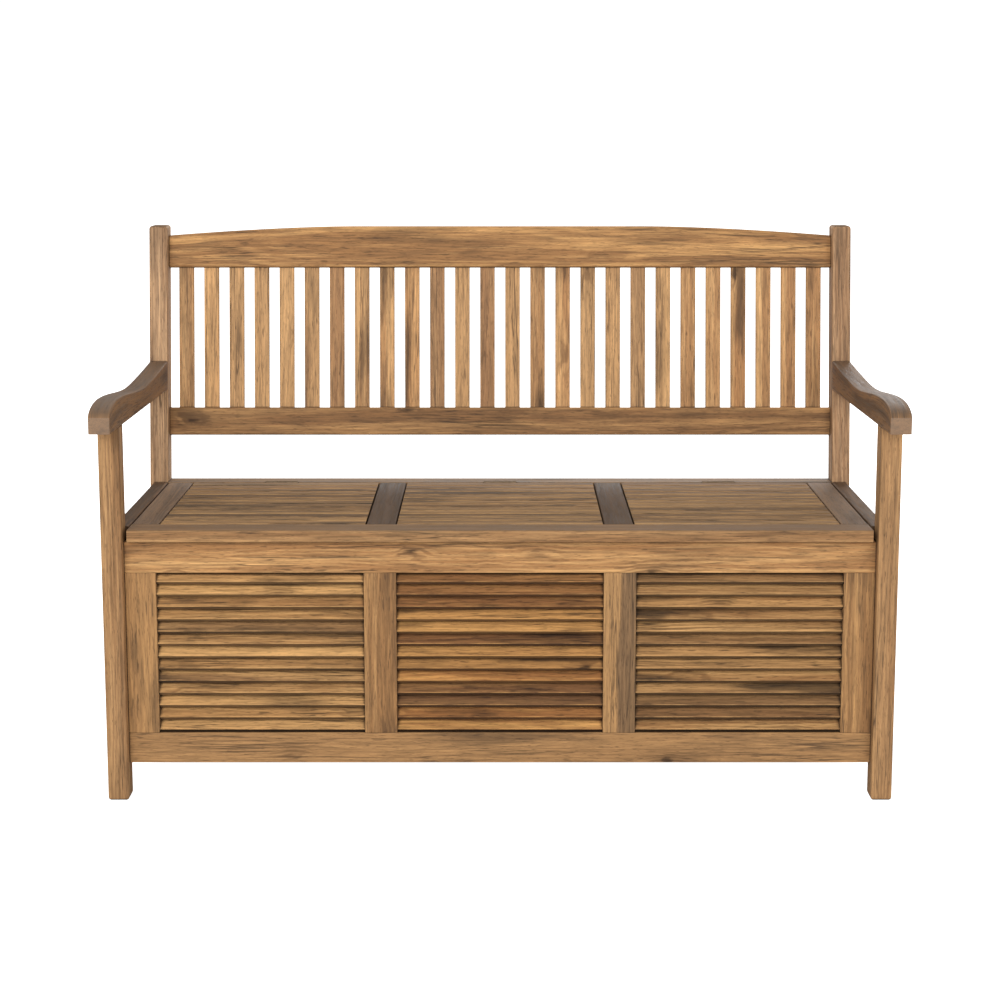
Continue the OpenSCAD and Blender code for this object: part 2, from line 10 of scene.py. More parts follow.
import bpy
import numpy as np
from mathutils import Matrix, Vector


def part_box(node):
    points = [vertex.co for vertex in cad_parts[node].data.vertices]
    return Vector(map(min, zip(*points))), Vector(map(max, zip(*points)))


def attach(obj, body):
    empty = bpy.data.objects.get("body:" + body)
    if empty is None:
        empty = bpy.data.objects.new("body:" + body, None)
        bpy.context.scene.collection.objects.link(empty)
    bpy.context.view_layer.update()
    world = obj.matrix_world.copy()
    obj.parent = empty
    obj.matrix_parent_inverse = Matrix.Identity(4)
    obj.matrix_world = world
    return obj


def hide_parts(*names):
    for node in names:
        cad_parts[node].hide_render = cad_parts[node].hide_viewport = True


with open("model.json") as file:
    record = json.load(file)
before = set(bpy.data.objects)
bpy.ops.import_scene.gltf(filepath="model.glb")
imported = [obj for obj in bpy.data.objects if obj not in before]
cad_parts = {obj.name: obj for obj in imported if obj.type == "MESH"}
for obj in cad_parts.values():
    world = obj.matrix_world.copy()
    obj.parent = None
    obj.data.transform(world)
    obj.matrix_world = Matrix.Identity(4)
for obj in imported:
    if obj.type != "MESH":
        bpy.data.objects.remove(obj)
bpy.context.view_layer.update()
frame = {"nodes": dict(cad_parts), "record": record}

log = logging.getLogger("bench")

Array = np.ndarray
Bend = Callable[[Array, Array, Array], tuple[Array, Array, Array]]
Rgb = tuple[float, float, float]
Socket = bpy.types.NodeSocket

MM = 0.001
AXES = np.eye(3)
REAL = "NodeSocketFloat"
VECTOR = "NodeSocketVector"
COLOUR = "NodeSocketColor"
TOUCH = MM / 10  # points this near a face lie on it
SAME_PLACE = 2e-5  # points this near each other share a place on a top line
# within these distances nearby wood darkens a point with painted crease shade
CREASE_REACH = 3.2 * MM
LOUVRE_REACH = 7.0 * MM
GRAIN_HEIGHT = 0.4 * MM
OILED = 0.22  # how much oiled wood shines
TOP_GREY_WAVES = (5.0, 14.0, 14.0)  # waves in each metre of the patchy grey on upper faces, partly weathering and partly painted top shade and reflection
LOG_PLACE = (7.3, 0.06, 0.05)  # where an object's own origin lies in the tree
PLAIN = (0.0, 0.0, 0.4, 0.5, 0.0)  # edge, end, tone, up and down of a piece without attributes
NOSE_LENGTH = 0.085  # an arm's nose has rings over this length, spaced as the cosine of even angles
NOSE_ANGLES = (5.0, 85.0)
NOSE_RINGS = 16
SENSOR = 36.0  # width of the camera's sensor in millimetres
MASKS = ("Rings", "Streaks", "Lines", "Smoke", "Heart", "Fibres", "Pores", "Knots", "Halo")


class Grain(Enum):
    """Which way the wood's fibres run in a node whose pieces stand square to the frame."""

    ALONG_X = (0, 1, 2)
    ALONG_Y = (1, 2, 0)
    ALONG_Z = (2, 0, 1)

    def axes(self) -> Array:
        """Unit vectors along, across and through a piece, as rows."""
        return AXES[list(self.value)]


# ---------------------------------------------------------------- measuring the frame


def node_corners(name: str) -> tuple[Array, Array]:
    """Lowest and highest corner of a CAD node, as arrays."""
    low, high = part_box(name)
    return np.array(low), np.array(high)


def node_body(name: str) -> str:
    """The body that a CAD node belongs to."""
    bodies = frame["record"]["behaviour"]["bodies"]
    return next(body for body, nodes in bodies.items() if name in nodes)


def node_solids(name: str) -> list[Array]:
    """Corner points of each separate solid in a CAD node, sorted by their middles.

    The node's triangles are loose, so equal points are merged first. Then every point takes the
    lowest label among the points that share a triangle with it, until no label changes.

    Args:
        name: The node.
    Returns:
        One array of distinct points for each solid.
    """
    mesh = frame["nodes"][name].data
    points = np.empty(len(mesh.vertices) * 3)
    mesh.vertices.foreach_get("co", points)
    corners = np.empty(len(mesh.loops), dtype=np.int64)
    mesh.loops.foreach_get("vertex_index", corners)
    distinct, index = np.unique(np.round(points.reshape(-1, 3), 6), axis=0, return_inverse=True)
    triangles = index.reshape(-1)[corners].reshape(-1, 3)
    label = np.arange(len(distinct))
    while True:
        lowest = label[triangles].min(axis=1)
        new = label.copy()
        np.minimum.at(new, triangles.reshape(-1), np.repeat(lowest, 3))
        if (new == label).all():
            break
        label = new
    solids = [distinct[label == each] for each in np.unique(label)]
    return sorted(solids, key=lambda solid: tuple(np.round(solid.mean(axis=0), 4)))


def top_line(places: Array, heights: Array) -> tuple[Array, Array]:
    """Highest point at each distinct place.

    Args:
        places: Where each point is along the line.
        heights: How high each point is.
    Returns:
        The distinct places in order, and the greatest height at each.
    """
    spots = np.unique(np.round(places, 5))
    near = np.abs(places[None] - spots[:, None]) < SAME_PLACE
    return spots, np.where(near, heights[None], -np.inf).max(axis=1)


# ---------------------------------------------------------------- members as surfaces


@dataclass(frozen=True)
class Member:
    """One length of wood, as a rounded bar with its own frame and its own cut from the tree.

    Attributes:
        middle: Centre of the bar.
        axes: Unit vectors along, across and through the bar, as rows.
        half: Half sizes along those axes.
        radius: Radius of the eased long edges.
        tips: Radii of the eased first and last end.
        bend: Moves points given as distances along, across and through; None for a straight bar.
        stops: Extra places along the bar, from its middle, where the surface needs a ring.
        cut: Turn about its length and distance from the pith of its place in the tree; None for chance.
        tone: How deep its colour is, from 0 to 1; None for chance.
    """

    middle: Array
    axes: Array
    half: Array
    radius: float = 2.0 * MM
    tips: tuple[float, float] = (0.5 * MM, 0.5 * MM)
    bend: Bend | None = None
    stops: tuple[float, ...] = ()
    cut: tuple[float, float] | None = None
    tone: float | None = None


@dataclass
class Surface:
    """A closed mesh as arrays, with the values its material reads at each point."""

    points: Array
    quads: Array
    caps: Array
    grain: Array
    edge: Array
    end: Array
    tone: Array


def unit(angle: float) -> Array:
    """Unit vector at an angle in degrees."""
    way = math.radians(angle)
    return np.array([math.cos(way), math.sin(way)])


class Ring:
    """Cross-section of a rounded bar as points on a rectangle with quarter-circle corners.

    A point is: corner times (half size less the radius), plus radius times a direction, plus band
    times a slide along the face. The slide keeps the broad faces flat beside the eased edges.
    """

    ARC = (0.0, 30.0, 60.0, 90.0)

    def __init__(self) -> None:
        """Lays the points out corner by corner, anticlockwise."""
        corner, direction, slide, edge = [], [], [], []
        for quarter in range(4):
            turn = 90.0 * quarter
            sign = np.sign(np.cos(np.radians([turn + 45.0, turn - 45.0])))
            first, last = -unit(turn + 90.0), -unit(turn)
            angles = [0.0, *self.ARC, 90.0]
            slides = [first, *([np.zeros(2)] * len(self.ARC)), last]
            for angle, along in zip(angles, slides):
                corner.append(sign)
                direction.append(unit(turn + angle))
                slide.append(along)
                edge.append(0.0 if along.any() else 1.0)
        self.corner = np.array(corner)
        self.direction = np.array(direction)
        self.slide = np.array(slide)
        self.edge = np.array(edge)


class Stations:
    """Rings along a bar: eased at both ends, and evenly spaced between them.

    An end ring at angle phi stands tip times (1 - sin phi) inside the end, and the whole section
    there is smaller by tip times (1 - cos phi) on every side.
    """

    END = (90.0, 60.0, 30.0, 0.0)

    def __init__(self, member: Member, band: float, between: int) -> None:
        """Works out the rings of one member.

        Args:
            member: The bar.
            band: Width of the strip that keeps the end rings' shading off the long faces.
            between: Number of evenly spaced rings between the ends.
        """
        length = member.half[0]
        first, last = member.tips
        phi = np.radians(self.END)
        inset, shrink = 1.0 - np.sin(phi), 1.0 - np.cos(phi)
        low, high = first + band - length, length - last - band
        stops = np.array([stop for stop in member.stops if low < stop < high])
        middle = np.unique(np.round(np.concatenate([np.linspace(low, high, between), stops]), 6))
        flat = np.zeros(len(middle))
        self.place = np.concatenate([-length + first * inset, middle, (length - last * inset)[::-1]])
        self.shrink = np.concatenate([first * shrink, flat, last * shrink[::-1]])
        self.end = np.concatenate([phi > 1.0, flat, (phi > 1.0)[::-1]]) * 1.0
        self.edge = np.concatenate([phi > 0.2, flat, (phi > 0.2)[::-1]]) * 1.0


class Joiner:
    """Turns members into surfaces, giving every member its own place in the tree it was sawn from."""

    BAND = 4.0 * MM
    PITH_NEAR = 0.03
    PITH_FAR = 0.16
    LOG_LENGTH = 30.0

    def __init__(self, seed: int) -> None:
        """Seeds the cuts."""
        self.ring = Ring()
        self.random = np.random.default_rng(seed)

    def surface(self, member: Member, between: int = 6) -> Surface:
        """Surface of one member.

        The grid runs along the bar (rings) and round it (points of a ring). Along, across and
        through distances come from the ring formula, are bent, and are turned into the frame.

        Args:
            member: The bar.
            between: Evenly spaced rings between the eased ends.
        Returns:
            The closed surface with its attributes.
        """
        ring, radius = self.ring, member.radius
        band = min(self.BAND, 0.3 * (float(member.half.min()) - radius))
        stations = Stations(member, band, between)
        core = (member.half[1:] - radius) - stations.shrink[:, None]
        flat = ring.corner[None] * core[:, None, :] + ring.slide[None] * band
        section = flat + radius * ring.direction[None]
        along = np.broadcast_to(stations.place[:, None], section.shape[:2])
        across, through = section[..., 0], section[..., 1]
        if member.bend is None:
            local = np.stack([along, across, through], axis=-1)
        else:
            local = np.stack(member.bend(along, across, through), axis=-1)
        points = member.middle + local @ member.axes
        rows, count = section.shape[:2]
        index = np.arange(rows * count).reshape(rows, count)
        beside = np.roll(index, -1, axis=1)
        quads = np.stack([index[:-1], beside[:-1], beside[1:], index[1:]], axis=-1).reshape(-1, 4)
        caps = np.stack([index[0][::-1], index[-1]])
        edge = np.maximum(ring.edge[None], stations.edge[:, None])
        return Surface(
            points=points.reshape(-1, 3),
            quads=quads,
            caps=caps,
            grain=self._cut(np.stack([along, across, through], axis=-1).reshape(-1, 3), member.cut),
            edge=edge.reshape(-1),
            end=np.broadcast_to(stations.end[:, None], edge.shape).reshape(-1) * 1.0,
            tone=np.full(rows * count, self.random.random() if member.tone is None else member.tone),
        )

    def _cut(self, local: Array, chosen: tuple[float, float] | None) -> Array:
        """Places a member's points inside a log: turned about its length and moved off the pith.

        Args:
            local: Points along, across and through the member.
            chosen: Turn and distance from the pith, or None for chance.
        Returns:
            The points in the log.
        """
        turn = self.random.uniform(0.0, 2.0 * math.pi)
        away = self.random.uniform(self.PITH_NEAR, self.PITH_FAR)
        start = self.random.uniform(0.0, self.LOG_LENGTH)
        turn, away = chosen or (turn, away)
        cos, sin = math.cos(turn), math.sin(turn)
        turned = np.stack([
            local[:, 0],
            cos * local[:, 1] - sin * local[:, 2],
            sin * local[:, 1] + cos * local[:, 2],
        ], axis=-1)
        return turned + np.array((start, away, 0.0))

    @staticmethod
    def join(surfaces: list[Surface]) -> Surface:
        """Joins surfaces into one, shifting each one's faces past the points before it."""
        counts = np.cumsum([0] + [len(each.points) for each in surfaces[:-1]])
        joined = {
            title: np.concatenate([getattr(each, title) + shift for each, shift in zip(surfaces, counts)])
            for title in ("quads", "caps")
        }
        for title in ("points", "grain", "edge", "end", "tone"):
            joined[title] = np.concatenate([getattr(each, title) for each in surfaces])
        return Surface(**joined)


def make_mesh(name: str, surface: Surface) -> bpy.types.Object:
    """Makes a mesh object of a surface, at the origin, with its attributes on the points.

    Args:
        name: Name of the object and its mesh.
        surface: The arrays.
    Returns:
        The object, linked to the scene.
    """
    mesh = bpy.data.meshes.new(name)
    size = surface.caps.shape[1]
    loops = np.concatenate([surface.quads.reshape(-1), surface.caps.reshape(-1)])
    totals = np.concatenate([np.full(len(surface.quads), 4), np.full(len(surface.caps), size)])
    starts = np.concatenate([[0], np.cumsum(totals)[:-1]])
    mesh.vertices.add(len(surface.points))
    mesh.vertices.foreach_set("co", surface.points.reshape(-1))
    mesh.loops.add(len(loops))
    mesh.loops.foreach_set("vertex_index", loops)
    mesh.polygons.add(len(totals))
    mesh.polygons.foreach_set("loop_start", starts)
    mesh.update(calc_edges=True)
    mesh.validate()
    normals = np.empty(len(surface.points) * 3)
    mesh.vertices.foreach_get("normal", normals)
    rise = normals.reshape(-1, 3)[:, 2]
    values = {
        "edge": surface.edge,
        "end": surface.end,
        "tone": surface.tone,
        "up": np.clip(rise, 0.0, 1.0),
        "down": np.clip(-rise, 0.0, 1.0),
    }
    for title, each in values.items():
        mesh.attributes.new(title, "FLOAT", "POINT").data.foreach_set("value", each)
    grain = mesh.attributes.new("grain", "FLOAT_VECTOR", "POINT")
    grain.data.foreach_set("vector", surface.grain.reshape(-1))
    mesh.polygons.foreach_set("use_smooth", np.ones(len(totals), dtype=bool))
    piece = bpy.data.objects.new(name, mesh)
    bpy.context.scene.collection.objects.link(piece)
    return piece


# ---------------------------------------------------------------- shader groups


class Graph:
    """A node tree with short calls for adding nodes and joining their sockets."""

    def __init__(self, tree: bpy.types.NodeTree) -> None:
        """Wraps a tree."""
        self.tree = tree

    def add(self, kind: str, **settings: object) -> bpy.types.Node:
        """Adds a node of a kind and sets its properties."""
        made = self.tree.nodes.new(kind)
        for key, value in settings.items():
            setattr(made, key, value)
        return made

    def put(self, socket: Socket, value: object) -> None:
        """Links a socket to another one, or sets its constant."""
        if isinstance(value, Socket):
            self.tree.links.new(value, socket)
        else:
            socket.default_value = value

    def math(self, operation: str, first: object, second: object = 0.0, clamp: bool = False) -> Socket:
        """Arithmetic on two values."""
        made = self.add("ShaderNodeMath", operation=operation, use_clamp=clamp)
        self.put(made.inputs[0], first)
        self.put(made.inputs[1], second)
        return made.outputs[0]

    def times(self, first: object, second: object, clamp: bool = False) -> Socket:
        """Product of two values."""
        return self.math("MULTIPLY", first, second, clamp)

    def plus(self, first: object, second: object, clamp: bool = False) -> Socket:
        """Sum of two values."""
        return self.math("ADD", first, second, clamp)

    def minus(self, first: object, second: object) -> Socket:
        """Difference of two values."""
        return self.math("SUBTRACT", first, second)

    def vector(self, operation: str, first: object, second: object) -> Socket:
        """Arithmetic on two vectors."""
        made = self.add("ShaderNodeVectorMath", operation=operation)
        self.put(made.inputs[0], first)
        self.put(made.inputs[1], second)
        return made.outputs[0]

    def drawn(self, place: object, waves: Rgb, detail: float, rough: float = 0.5) -> Socket:
        """Noise with a number of waves in each metre along, across and through the wood."""
        return self.noise(self.vector("MULTIPLY", place, waves), detail, rough).outputs["Fac"]

    def noise(self, vector: object, detail: float, rough: float = 0.5) -> bpy.types.Node:
        """Noise read at a vector that is already scaled."""
        made = self.add("ShaderNodeTexNoise")
        self.put(made.inputs["Vector"], vector)
        made.inputs["Scale"].default_value = 1.0
        made.inputs["Detail"].default_value = detail
        made.inputs["Roughness"].default_value = rough
        return made

    def ramp(self, value: object, low: float, high: float, start: float = 0.0, stop: float = 1.0) -> Socket:
        """Smooth step of a value from low..high to start..stop."""
        made = self.add("ShaderNodeMapRange", interpolation_type="SMOOTHSTEP")
        self.put(made.inputs["Value"], value)
        limits = {"From Min": low, "From Max": high, "To Min": start, "To Max": stop}
        for title, number in limits.items():
            made.inputs[title].default_value = number
        return made.outputs["Result"]

    def bump(self, shader: bpy.types.Node, height: Socket, strength: float, distance: float) -> None:
        """Raises a shader's surface by a height."""
        made = self.add("ShaderNodeBump")
        made.inputs["Strength"].default_value = strength
        made.inputs["Distance"].default_value = distance
        self.put(made.inputs["Height"], height)
        self.put(shader.inputs["Normal"], made.outputs["Normal"])

    def mix(self, share: object, first: object, second: object, blend: str = "MIX") -> Socket:
        """Mixes two colours."""
        made = self.add("ShaderNodeMix", data_type="RGBA", blend_type=blend)
        self.put(made.inputs["Factor"], share)
        self.put(made.inputs["A"], first)
        self.put(made.inputs["B"], second)
        return made.outputs["Result"]

    def grey(self, value: object) -> Socket:
        """A value as a grey colour."""
        made = self.add("ShaderNodeCombineColor")
        for socket in made.inputs[:3]:
            self.put(socket, value)
        return made.outputs[0]

    def attribute(self, title: str, output: str = "Fac") -> Socket:
        """An attribute of the mesh."""
        return self.add("ShaderNodeAttribute", attribute_name=title).outputs[output]


def rgba(colour: Rgb) -> tuple[float, float, float, float]:
    """A colour with full alpha."""
    return (*colour, 1.0)


def new_material(name: str) -> tuple[bpy.types.Material, Graph, bpy.types.Node]:
    """A new material, its graph and its shader."""
    material = bpy.data.materials.new(name)
    material.use_nodes = True
    return material, Graph(material.node_tree), material.node_tree.nodes["Principled BSDF"]


class Groups:
    """Shader groups shared by the finishes, each built once.

    The tuples are numbers of waves in each metre along, across and through the wood.
    """

    SLOW = (2.0, 10.0, 10.0)
    FINE = (5.0, 120.0, 120.0)
    STREAK = (1.6, 48.0, 48.0)
    SMOKE = (4.0, 26.0, 26.0)
    VEIN = (1.8, 62.0, 62.0)
    FIBRE = (14.0, 320.0, 320.0)
    DASH = (34.0, 300.0, 300.0)
    PORE = (70.0, 1100.0, 1100.0)
    KNOT = (8.0, 17.0, 17.0)
    KNOT_BEND = (40.0, 80.0, 80.0)
    WORN = (22.0, 60.0, 60.0)
    RING_GAP = 6.0 * MM
    HEARTWOOD = (0.116, 0.110)

    def __init__(self) -> None:
        """Builds every group."""
        self.acacia = self._acacia()
        self.colour = self._colour()
        self.wear = self._wear()

    @staticmethod
    def _open(name: str, inputs: dict[str, str], outputs: dict[str, str]) -> tuple[Graph, object, object]:
        """Starts a group with named sockets.

        Args:
            name: Name of the group.
            inputs: Socket names and types.
            outputs: Socket names and types.
        Returns:
            The graph, its input node and its output node.
        """
        tree = bpy.data.node_groups.new(name, "ShaderNodeTree")
        for title, kind in inputs.items():
            tree.interface.new_socket(title, in_out="INPUT", socket_type=kind)
        for title, kind in outputs.items():
            tree.interface.new_socket(title, in_out="OUTPUT", socket_type=kind)
        graph = Graph(tree)
        return graph, graph.add("NodeGroupInput"), graph.add("NodeGroupOutput")

    def _acacia(self) -> bpy.types.NodeTree:
        """Acacia about a pith line, read in a member's own cut, in metres.

        Rings follow the distance from the pith, shifted by slow noise and by knots. A knot is a
        cell of a sparse cell pattern. Heartwood ends at a wavy distance from the pith. Streaks,
        smoke, fibres and pores are noise drawn out along the grain by different amounts, and a
        fine dark line runs wherever a drawn-out noise crosses its middle value.
        """
        names = (*MASKS, "Height")
        inputs = {"Vector": VECTOR, "Knot Share": REAL, "Smoke Share": REAL}
        graph, given, out = self._open("Acacia", inputs, {name: REAL for name in names})
        place = given.outputs["Vector"]
        knot, halo = self._knots(graph, place, given.outputs["Knot Share"])
        across = graph.vector("MULTIPLY", place, (0.0, 1.0, 1.0))
        span = graph.add("ShaderNodeVectorMath", operation="LENGTH")
        graph.put(span.inputs[0], across)
        slow = graph.drawn(place, self.SLOW, 2.0)
        fine = graph.drawn(place, self.FINE, 3.0)
        wavy = graph.times(graph.minus(slow, 0.5), 0.05)
        pushed = graph.plus(graph.plus(span.outputs["Value"], wavy), graph.times(halo, 0.007))
        phase = graph.times(pushed, 2.0 * math.pi / self.RING_GAP)
        phase = graph.plus(phase, graph.times(fine, 9.0))
        rings = graph.ramp(graph.math("SINE", phase), -1.0, 1.0)
        heart = graph.ramp(pushed, *self.HEARTWOOD)
        streak = graph.drawn(place, self.STREAK, 5.0, 0.62)
        smoky = graph.drawn(place, self.SMOKE, 4.0, 0.55)
        smoke = graph.times(graph.ramp(smoky, 0.50, 0.70), given.outputs["Smoke Share"], clamp=True)
        smoke = graph.times(smoke, graph.ramp(streak, 0.30, 0.62, 0.45, 1.0))
        vein = graph.drawn(place, self.VEIN, 3.0, 0.6)
        near = graph.math("ABSOLUTE", graph.minus(vein, 0.5))
        lines = graph.times(graph.ramp(near, 0.022, 0.0), graph.ramp(slow, 0.42, 0.62, 0.15, 1.0))
        fibre = graph.drawn(place, self.FIBRE, 4.0, 0.7)
        dash = graph.drawn(place, self.DASH, 2.0)
        dashes = graph.times(graph.ramp(dash, 0.40, 0.30), graph.ramp(streak, 0.35, 0.6, 0.2, 1.0))
        pore = graph.drawn(place, self.PORE, 1.0)
        pores = graph.math("MAXIMUM", graph.ramp(pore, 0.38, 0.28), dashes)
        height = graph.minus(graph.times(fibre, 0.6), graph.times(pores, 0.6))
        height = graph.minus(height, graph.times(lines, 0.5))
        height = graph.minus(height, graph.times(knot, 0.5))
        values = (rings, streak, lines, smoke, heart, fibre, pores, knot, halo, height)
        for name, value in zip(names, values):
            graph.put(out.inputs[name], value)
        return graph.tree

    def _knots(self, graph: Graph, place: object, share: object) -> tuple[object, object]:
        """Knot cores and the halo round each one, both faded out before the cell's border.

        Args:
            graph: The group's graph.
            place: Where the pattern is read.
            share: Share of the cells that hold a knot.
        Returns:
            The core mask and the halo mask.
        """
        bent = graph.noise(graph.vector("MULTIPLY", place, self.KNOT_BEND), 3.0).outputs["Color"]
        bent = graph.vector("MULTIPLY", bent, (0.22, 0.22, 0.22))
        bent = graph.vector("ADD", graph.vector("MULTIPLY", place, self.KNOT), bent)
        cell = graph.add("ShaderNodeTexVoronoi", feature="F1")
        border = graph.add("ShaderNodeTexVoronoi", feature="DISTANCE_TO_EDGE")
        for pattern in (cell, border):
            graph.put(pattern.inputs["Vector"], bent)
            pattern.inputs["Scale"].default_value = 1.0
        chosen = graph.add("ShaderNodeSeparateColor")
        graph.put(chosen.inputs[0], cell.outputs["Color"])
        present = graph.math("LESS_THAN", chosen.outputs[0], share)
        present = graph.times(present, graph.ramp(border.outputs["Distance"], 0.0, 0.2))
        core = graph.times(graph.ramp(cell.outputs["Distance"], 0.12, 0.04), present)
        halo = graph.times(graph.ramp(cell.outputs["Distance"], 0.46, 0.06), present)
        return core, halo

    def _colour(self) -> bpy.types.NodeTree:
        """Colour of acacia from its masks: tones first, then smoke, veins, pores and knots.

        A member's tone moves it from the light board to the deep one, and a second random value
        made from the tone moves it towards red.
        """
        colours = ("Light", "Mid", "Deep", "Dark")
        kinds = dict.fromkeys(("Tone", "Spread", *MASKS), REAL) | dict.fromkeys(colours, COLOUR)
        graph, given, out = self._open("Acacia colour", kinds, {"Color": COLOUR})
        read = given.outputs
        light, mid, deep, dark = (read[name] for name in colours)
        figure = graph.ramp(read["Streaks"], 0.32, 0.66)
        figure = graph.plus(figure, graph.times(read["Rings"], 0.34), clamp=True)
        body = graph.mix(figure, light, mid)
        drawn = graph.times(graph.ramp(read["Tone"], 0.2, 1.0), read["Spread"])
        body = graph.mix(drawn, body, deep)
        chance = graph.add("ShaderNodeTexWhiteNoise", noise_dimensions="1D")
        graph.put(chance.inputs["W"], graph.times(read["Tone"], 91.7))
        red = graph.times(graph.ramp(chance.outputs["Value"], 0.45, 1.0, stop=0.6), read["Spread"])
        body = graph.mix(red, body, graph.mix(1.0, body, (1.02, 0.86, 0.74, 1.0), "MULTIPLY"))
        sap = graph.times(graph.minus(1.0, read["Heart"]), 0.6)
        body = graph.mix(sap, body, graph.mix(0.3, light, mid))
        fibres = graph.grey(graph.ramp(read["Fibres"], 0.25, 0.75, 0.66, 1.34))
        body = graph.mix(1.0, body, fibres, "MULTIPLY")
        body = graph.mix(graph.times(read["Smoke"], 0.85), body, dark)
        body = graph.mix(graph.times(read["Lines"], 0.75), body, dark)
        body = graph.mix(graph.times(read["Pores"], 0.6), body, dark)
        swirl = graph.times(read["Halo"], graph.ramp(read["Rings"], 0.1, 0.9, 0.3, 0.85))
        body = graph.mix(swirl, body, graph.mix(0.4, dark, mid))
        core = graph.mix(1.0, dark, (0.8, 0.7, 0.6, 1.0), "MULTIPLY")
        graph.put(out.inputs["Color"], graph.mix(graph.times(read["Knots"], 0.85), body, core))
        return graph.tree

    def _wear(self) -> bpy.types.NodeTree:
        """Worn edges: the edge attribute broken up by noise."""
        inputs = {"Vector": VECTOR, "Edge": REAL, "Amount": REAL}
        graph, given, out = self._open("Worn edge", inputs, {"Mask": REAL})
        read = given.outputs
        broken = graph.ramp(graph.drawn(read["Vector"], self.WORN, 4.0, 0.6), 0.38, 0.68)
        worn = graph.times(graph.times(read["Edge"], broken), read["Amount"])
        graph.put(out.inputs["Mask"], worn)
        return graph.tree


# ---------------------------------------------------------------- finishes


class Coordinates(Enum):
    """Where a finish reads its pattern: a member's own cut, or the object's own place."""

    CUT = "cut"
    OBJECT = "object"


@dataclass(frozen=True)
class WoodFinish:
    """Oiled acacia: its tones, figure, knots, worn edges, greyed upper faces that are partly weathering and
    partly painted top shade, and painted shade under and between parts.

    Attributes:
        name: Name of the material.
        light, mid: Tones of the pale and the dark streaks of a pale board.
        deep: Tone of the darkest boards.
        dark: Colour of smoke, veins, pores and knots, and of the painted shade under and between parts.
        grey, top_grey_and_shade: Colour that upper faces turn towards, and how far; partly weathering,
            partly painted top shade and reflection.
        knots, smoke: Share of knot cells with a knot, and strength of the smoky patches.
        spread: How far members differ.
        worn: How far worn edges go back to the light tone.
        end_tint, ended: Colour of end grain, and how far it goes there.
        underside_shade: How far downward faces darken with painted shade.
        crease_shade: How far narrow gaps and inner corners darken with painted shade.
        reach: How near the wood opposite has to be for a gap to take painted shade.
        rough: Roughness between its low and high values.
        bump: Strength of the raised grain.
        coordinates: Where the pattern is read.
    """

    name: str
    light: Rgb
    mid: Rgb
    deep: Rgb
    dark: Rgb = (0.050, 0.030, 0.018)
    grey: Rgb = (0.13, 0.105, 0.085)
    top_grey_and_shade: float = 0.0
    knots: float = 0.16
    smoke: float = 0.5
    spread: float = 0.5
    worn: float = 0.25
    end_tint: Rgb = (0.050, 0.030, 0.018)
    ended: float = 0.5
    underside_shade: float = 0.25
    crease_shade: float = 0.9
    reach: float = CREASE_REACH
    rough: tuple[float, float] = (0.55, 0.75)
    bump: float = 0.5
    coordinates: Coordinates = Coordinates.CUT

    def build(self, groups: Groups) -> bpy.types.Material:
        """Makes the material.

        Args:
            groups: The shared shader groups.
        Returns:
            The material, ready for a slot.
        """
        material, graph, shader = new_material(self.name)
        place, edge, end, tone, up, down = self._read(graph)
        wood = graph.add("ShaderNodeGroup", node_tree=groups.acacia)
        graph.put(wood.inputs["Vector"], place)
        wood.inputs["Knot Share"].default_value = self.knots
        wood.inputs["Smoke Share"].default_value = self.smoke
        colour = graph.add("ShaderNodeGroup", node_tree=groups.colour)
        for mask in MASKS:
            graph.put(colour.inputs[mask], wood.outputs[mask])
        for title in ("light", "mid", "deep", "dark"):
            colour.inputs[title.title()].default_value = rgba(getattr(self, title))
        graph.put(colour.inputs["Tone"], tone)
        colour.inputs["Spread"].default_value = self.spread
        body = colour.outputs["Color"]
        # upper faces turn grey: partly weathering, partly painted shade and reflection on tops
        if self.top_grey_and_shade > 0.0:
            patch = graph.drawn(place, TOP_GREY_WAVES, 4.0)
            grey = graph.times(up, graph.ramp(patch, 0.25, 0.75, 0.5 * self.top_grey_and_shade, self.top_grey_and_shade))
            body = graph.mix(grey, body, rgba(self.grey))
        worn = graph.add("ShaderNodeGroup", node_tree=groups.wear)
        graph.put(worn.inputs["Vector"], place)
        graph.put(worn.inputs["Edge"], edge)
        worn.inputs["Amount"].default_value = self.worn
        body = graph.mix(worn.outputs["Mask"], body, rgba(self.light))
        body = graph.mix(graph.times(end, self.ended), body, rgba(self.end_tint))
        # painted shade: faces that look down darken towards the dark colour
        underside_shade = graph.times(graph.ramp(down, 0.2, 0.7), self.underside_shade)
        body = graph.mix(underside_shade, body, rgba(self.dark))
        # painted shade in narrow gaps and inner corners, from ambient occlusion
        body = graph.mix(self._painted_crease_shade(graph), body, rgba(self.dark))
        graph.put(shader.inputs["Base Color"], body)
        rough = graph.ramp(wood.outputs["Fibres"], 0.3, 0.7, *self.rough)
        rough = graph.plus(rough, graph.times(end, 0.15), clamp=True)
        graph.put(shader.inputs["Roughness"], rough)
        graph.bump(shader, wood.outputs["Height"], self.bump, GRAIN_HEIGHT)
        shader.inputs["Specular IOR Level"].default_value = OILED
        return material

    def _painted_crease_shade(self, graph: Graph) -> object:
        """Painted shade in creases: points whose surroundings within a few millimetres are mostly wood."""
        open_sky = graph.add("ShaderNodeAmbientOcclusion", samples=6)
        open_sky.inputs["Distance"].default_value = self.reach
        return graph.ramp(open_sky.outputs["AO"], 0.88, 0.56, 0.0, self.crease_shade)

    def _read(self, graph: Graph) -> tuple[object, ...]:
        """Place in the tree, edge, end, tone, and how far a face looks up and down, or plain values."""
        if self.coordinates is Coordinates.CUT:
            values = [graph.attribute(title) for title in ("edge", "end", "tone", "up", "down")]
            return (graph.attribute("grain", "Vector"), *values)
        own = graph.add("ShaderNodeTexCoord").outputs["Object"]
        return (graph.vector("ADD", own, LOG_PLACE), *PLAIN)


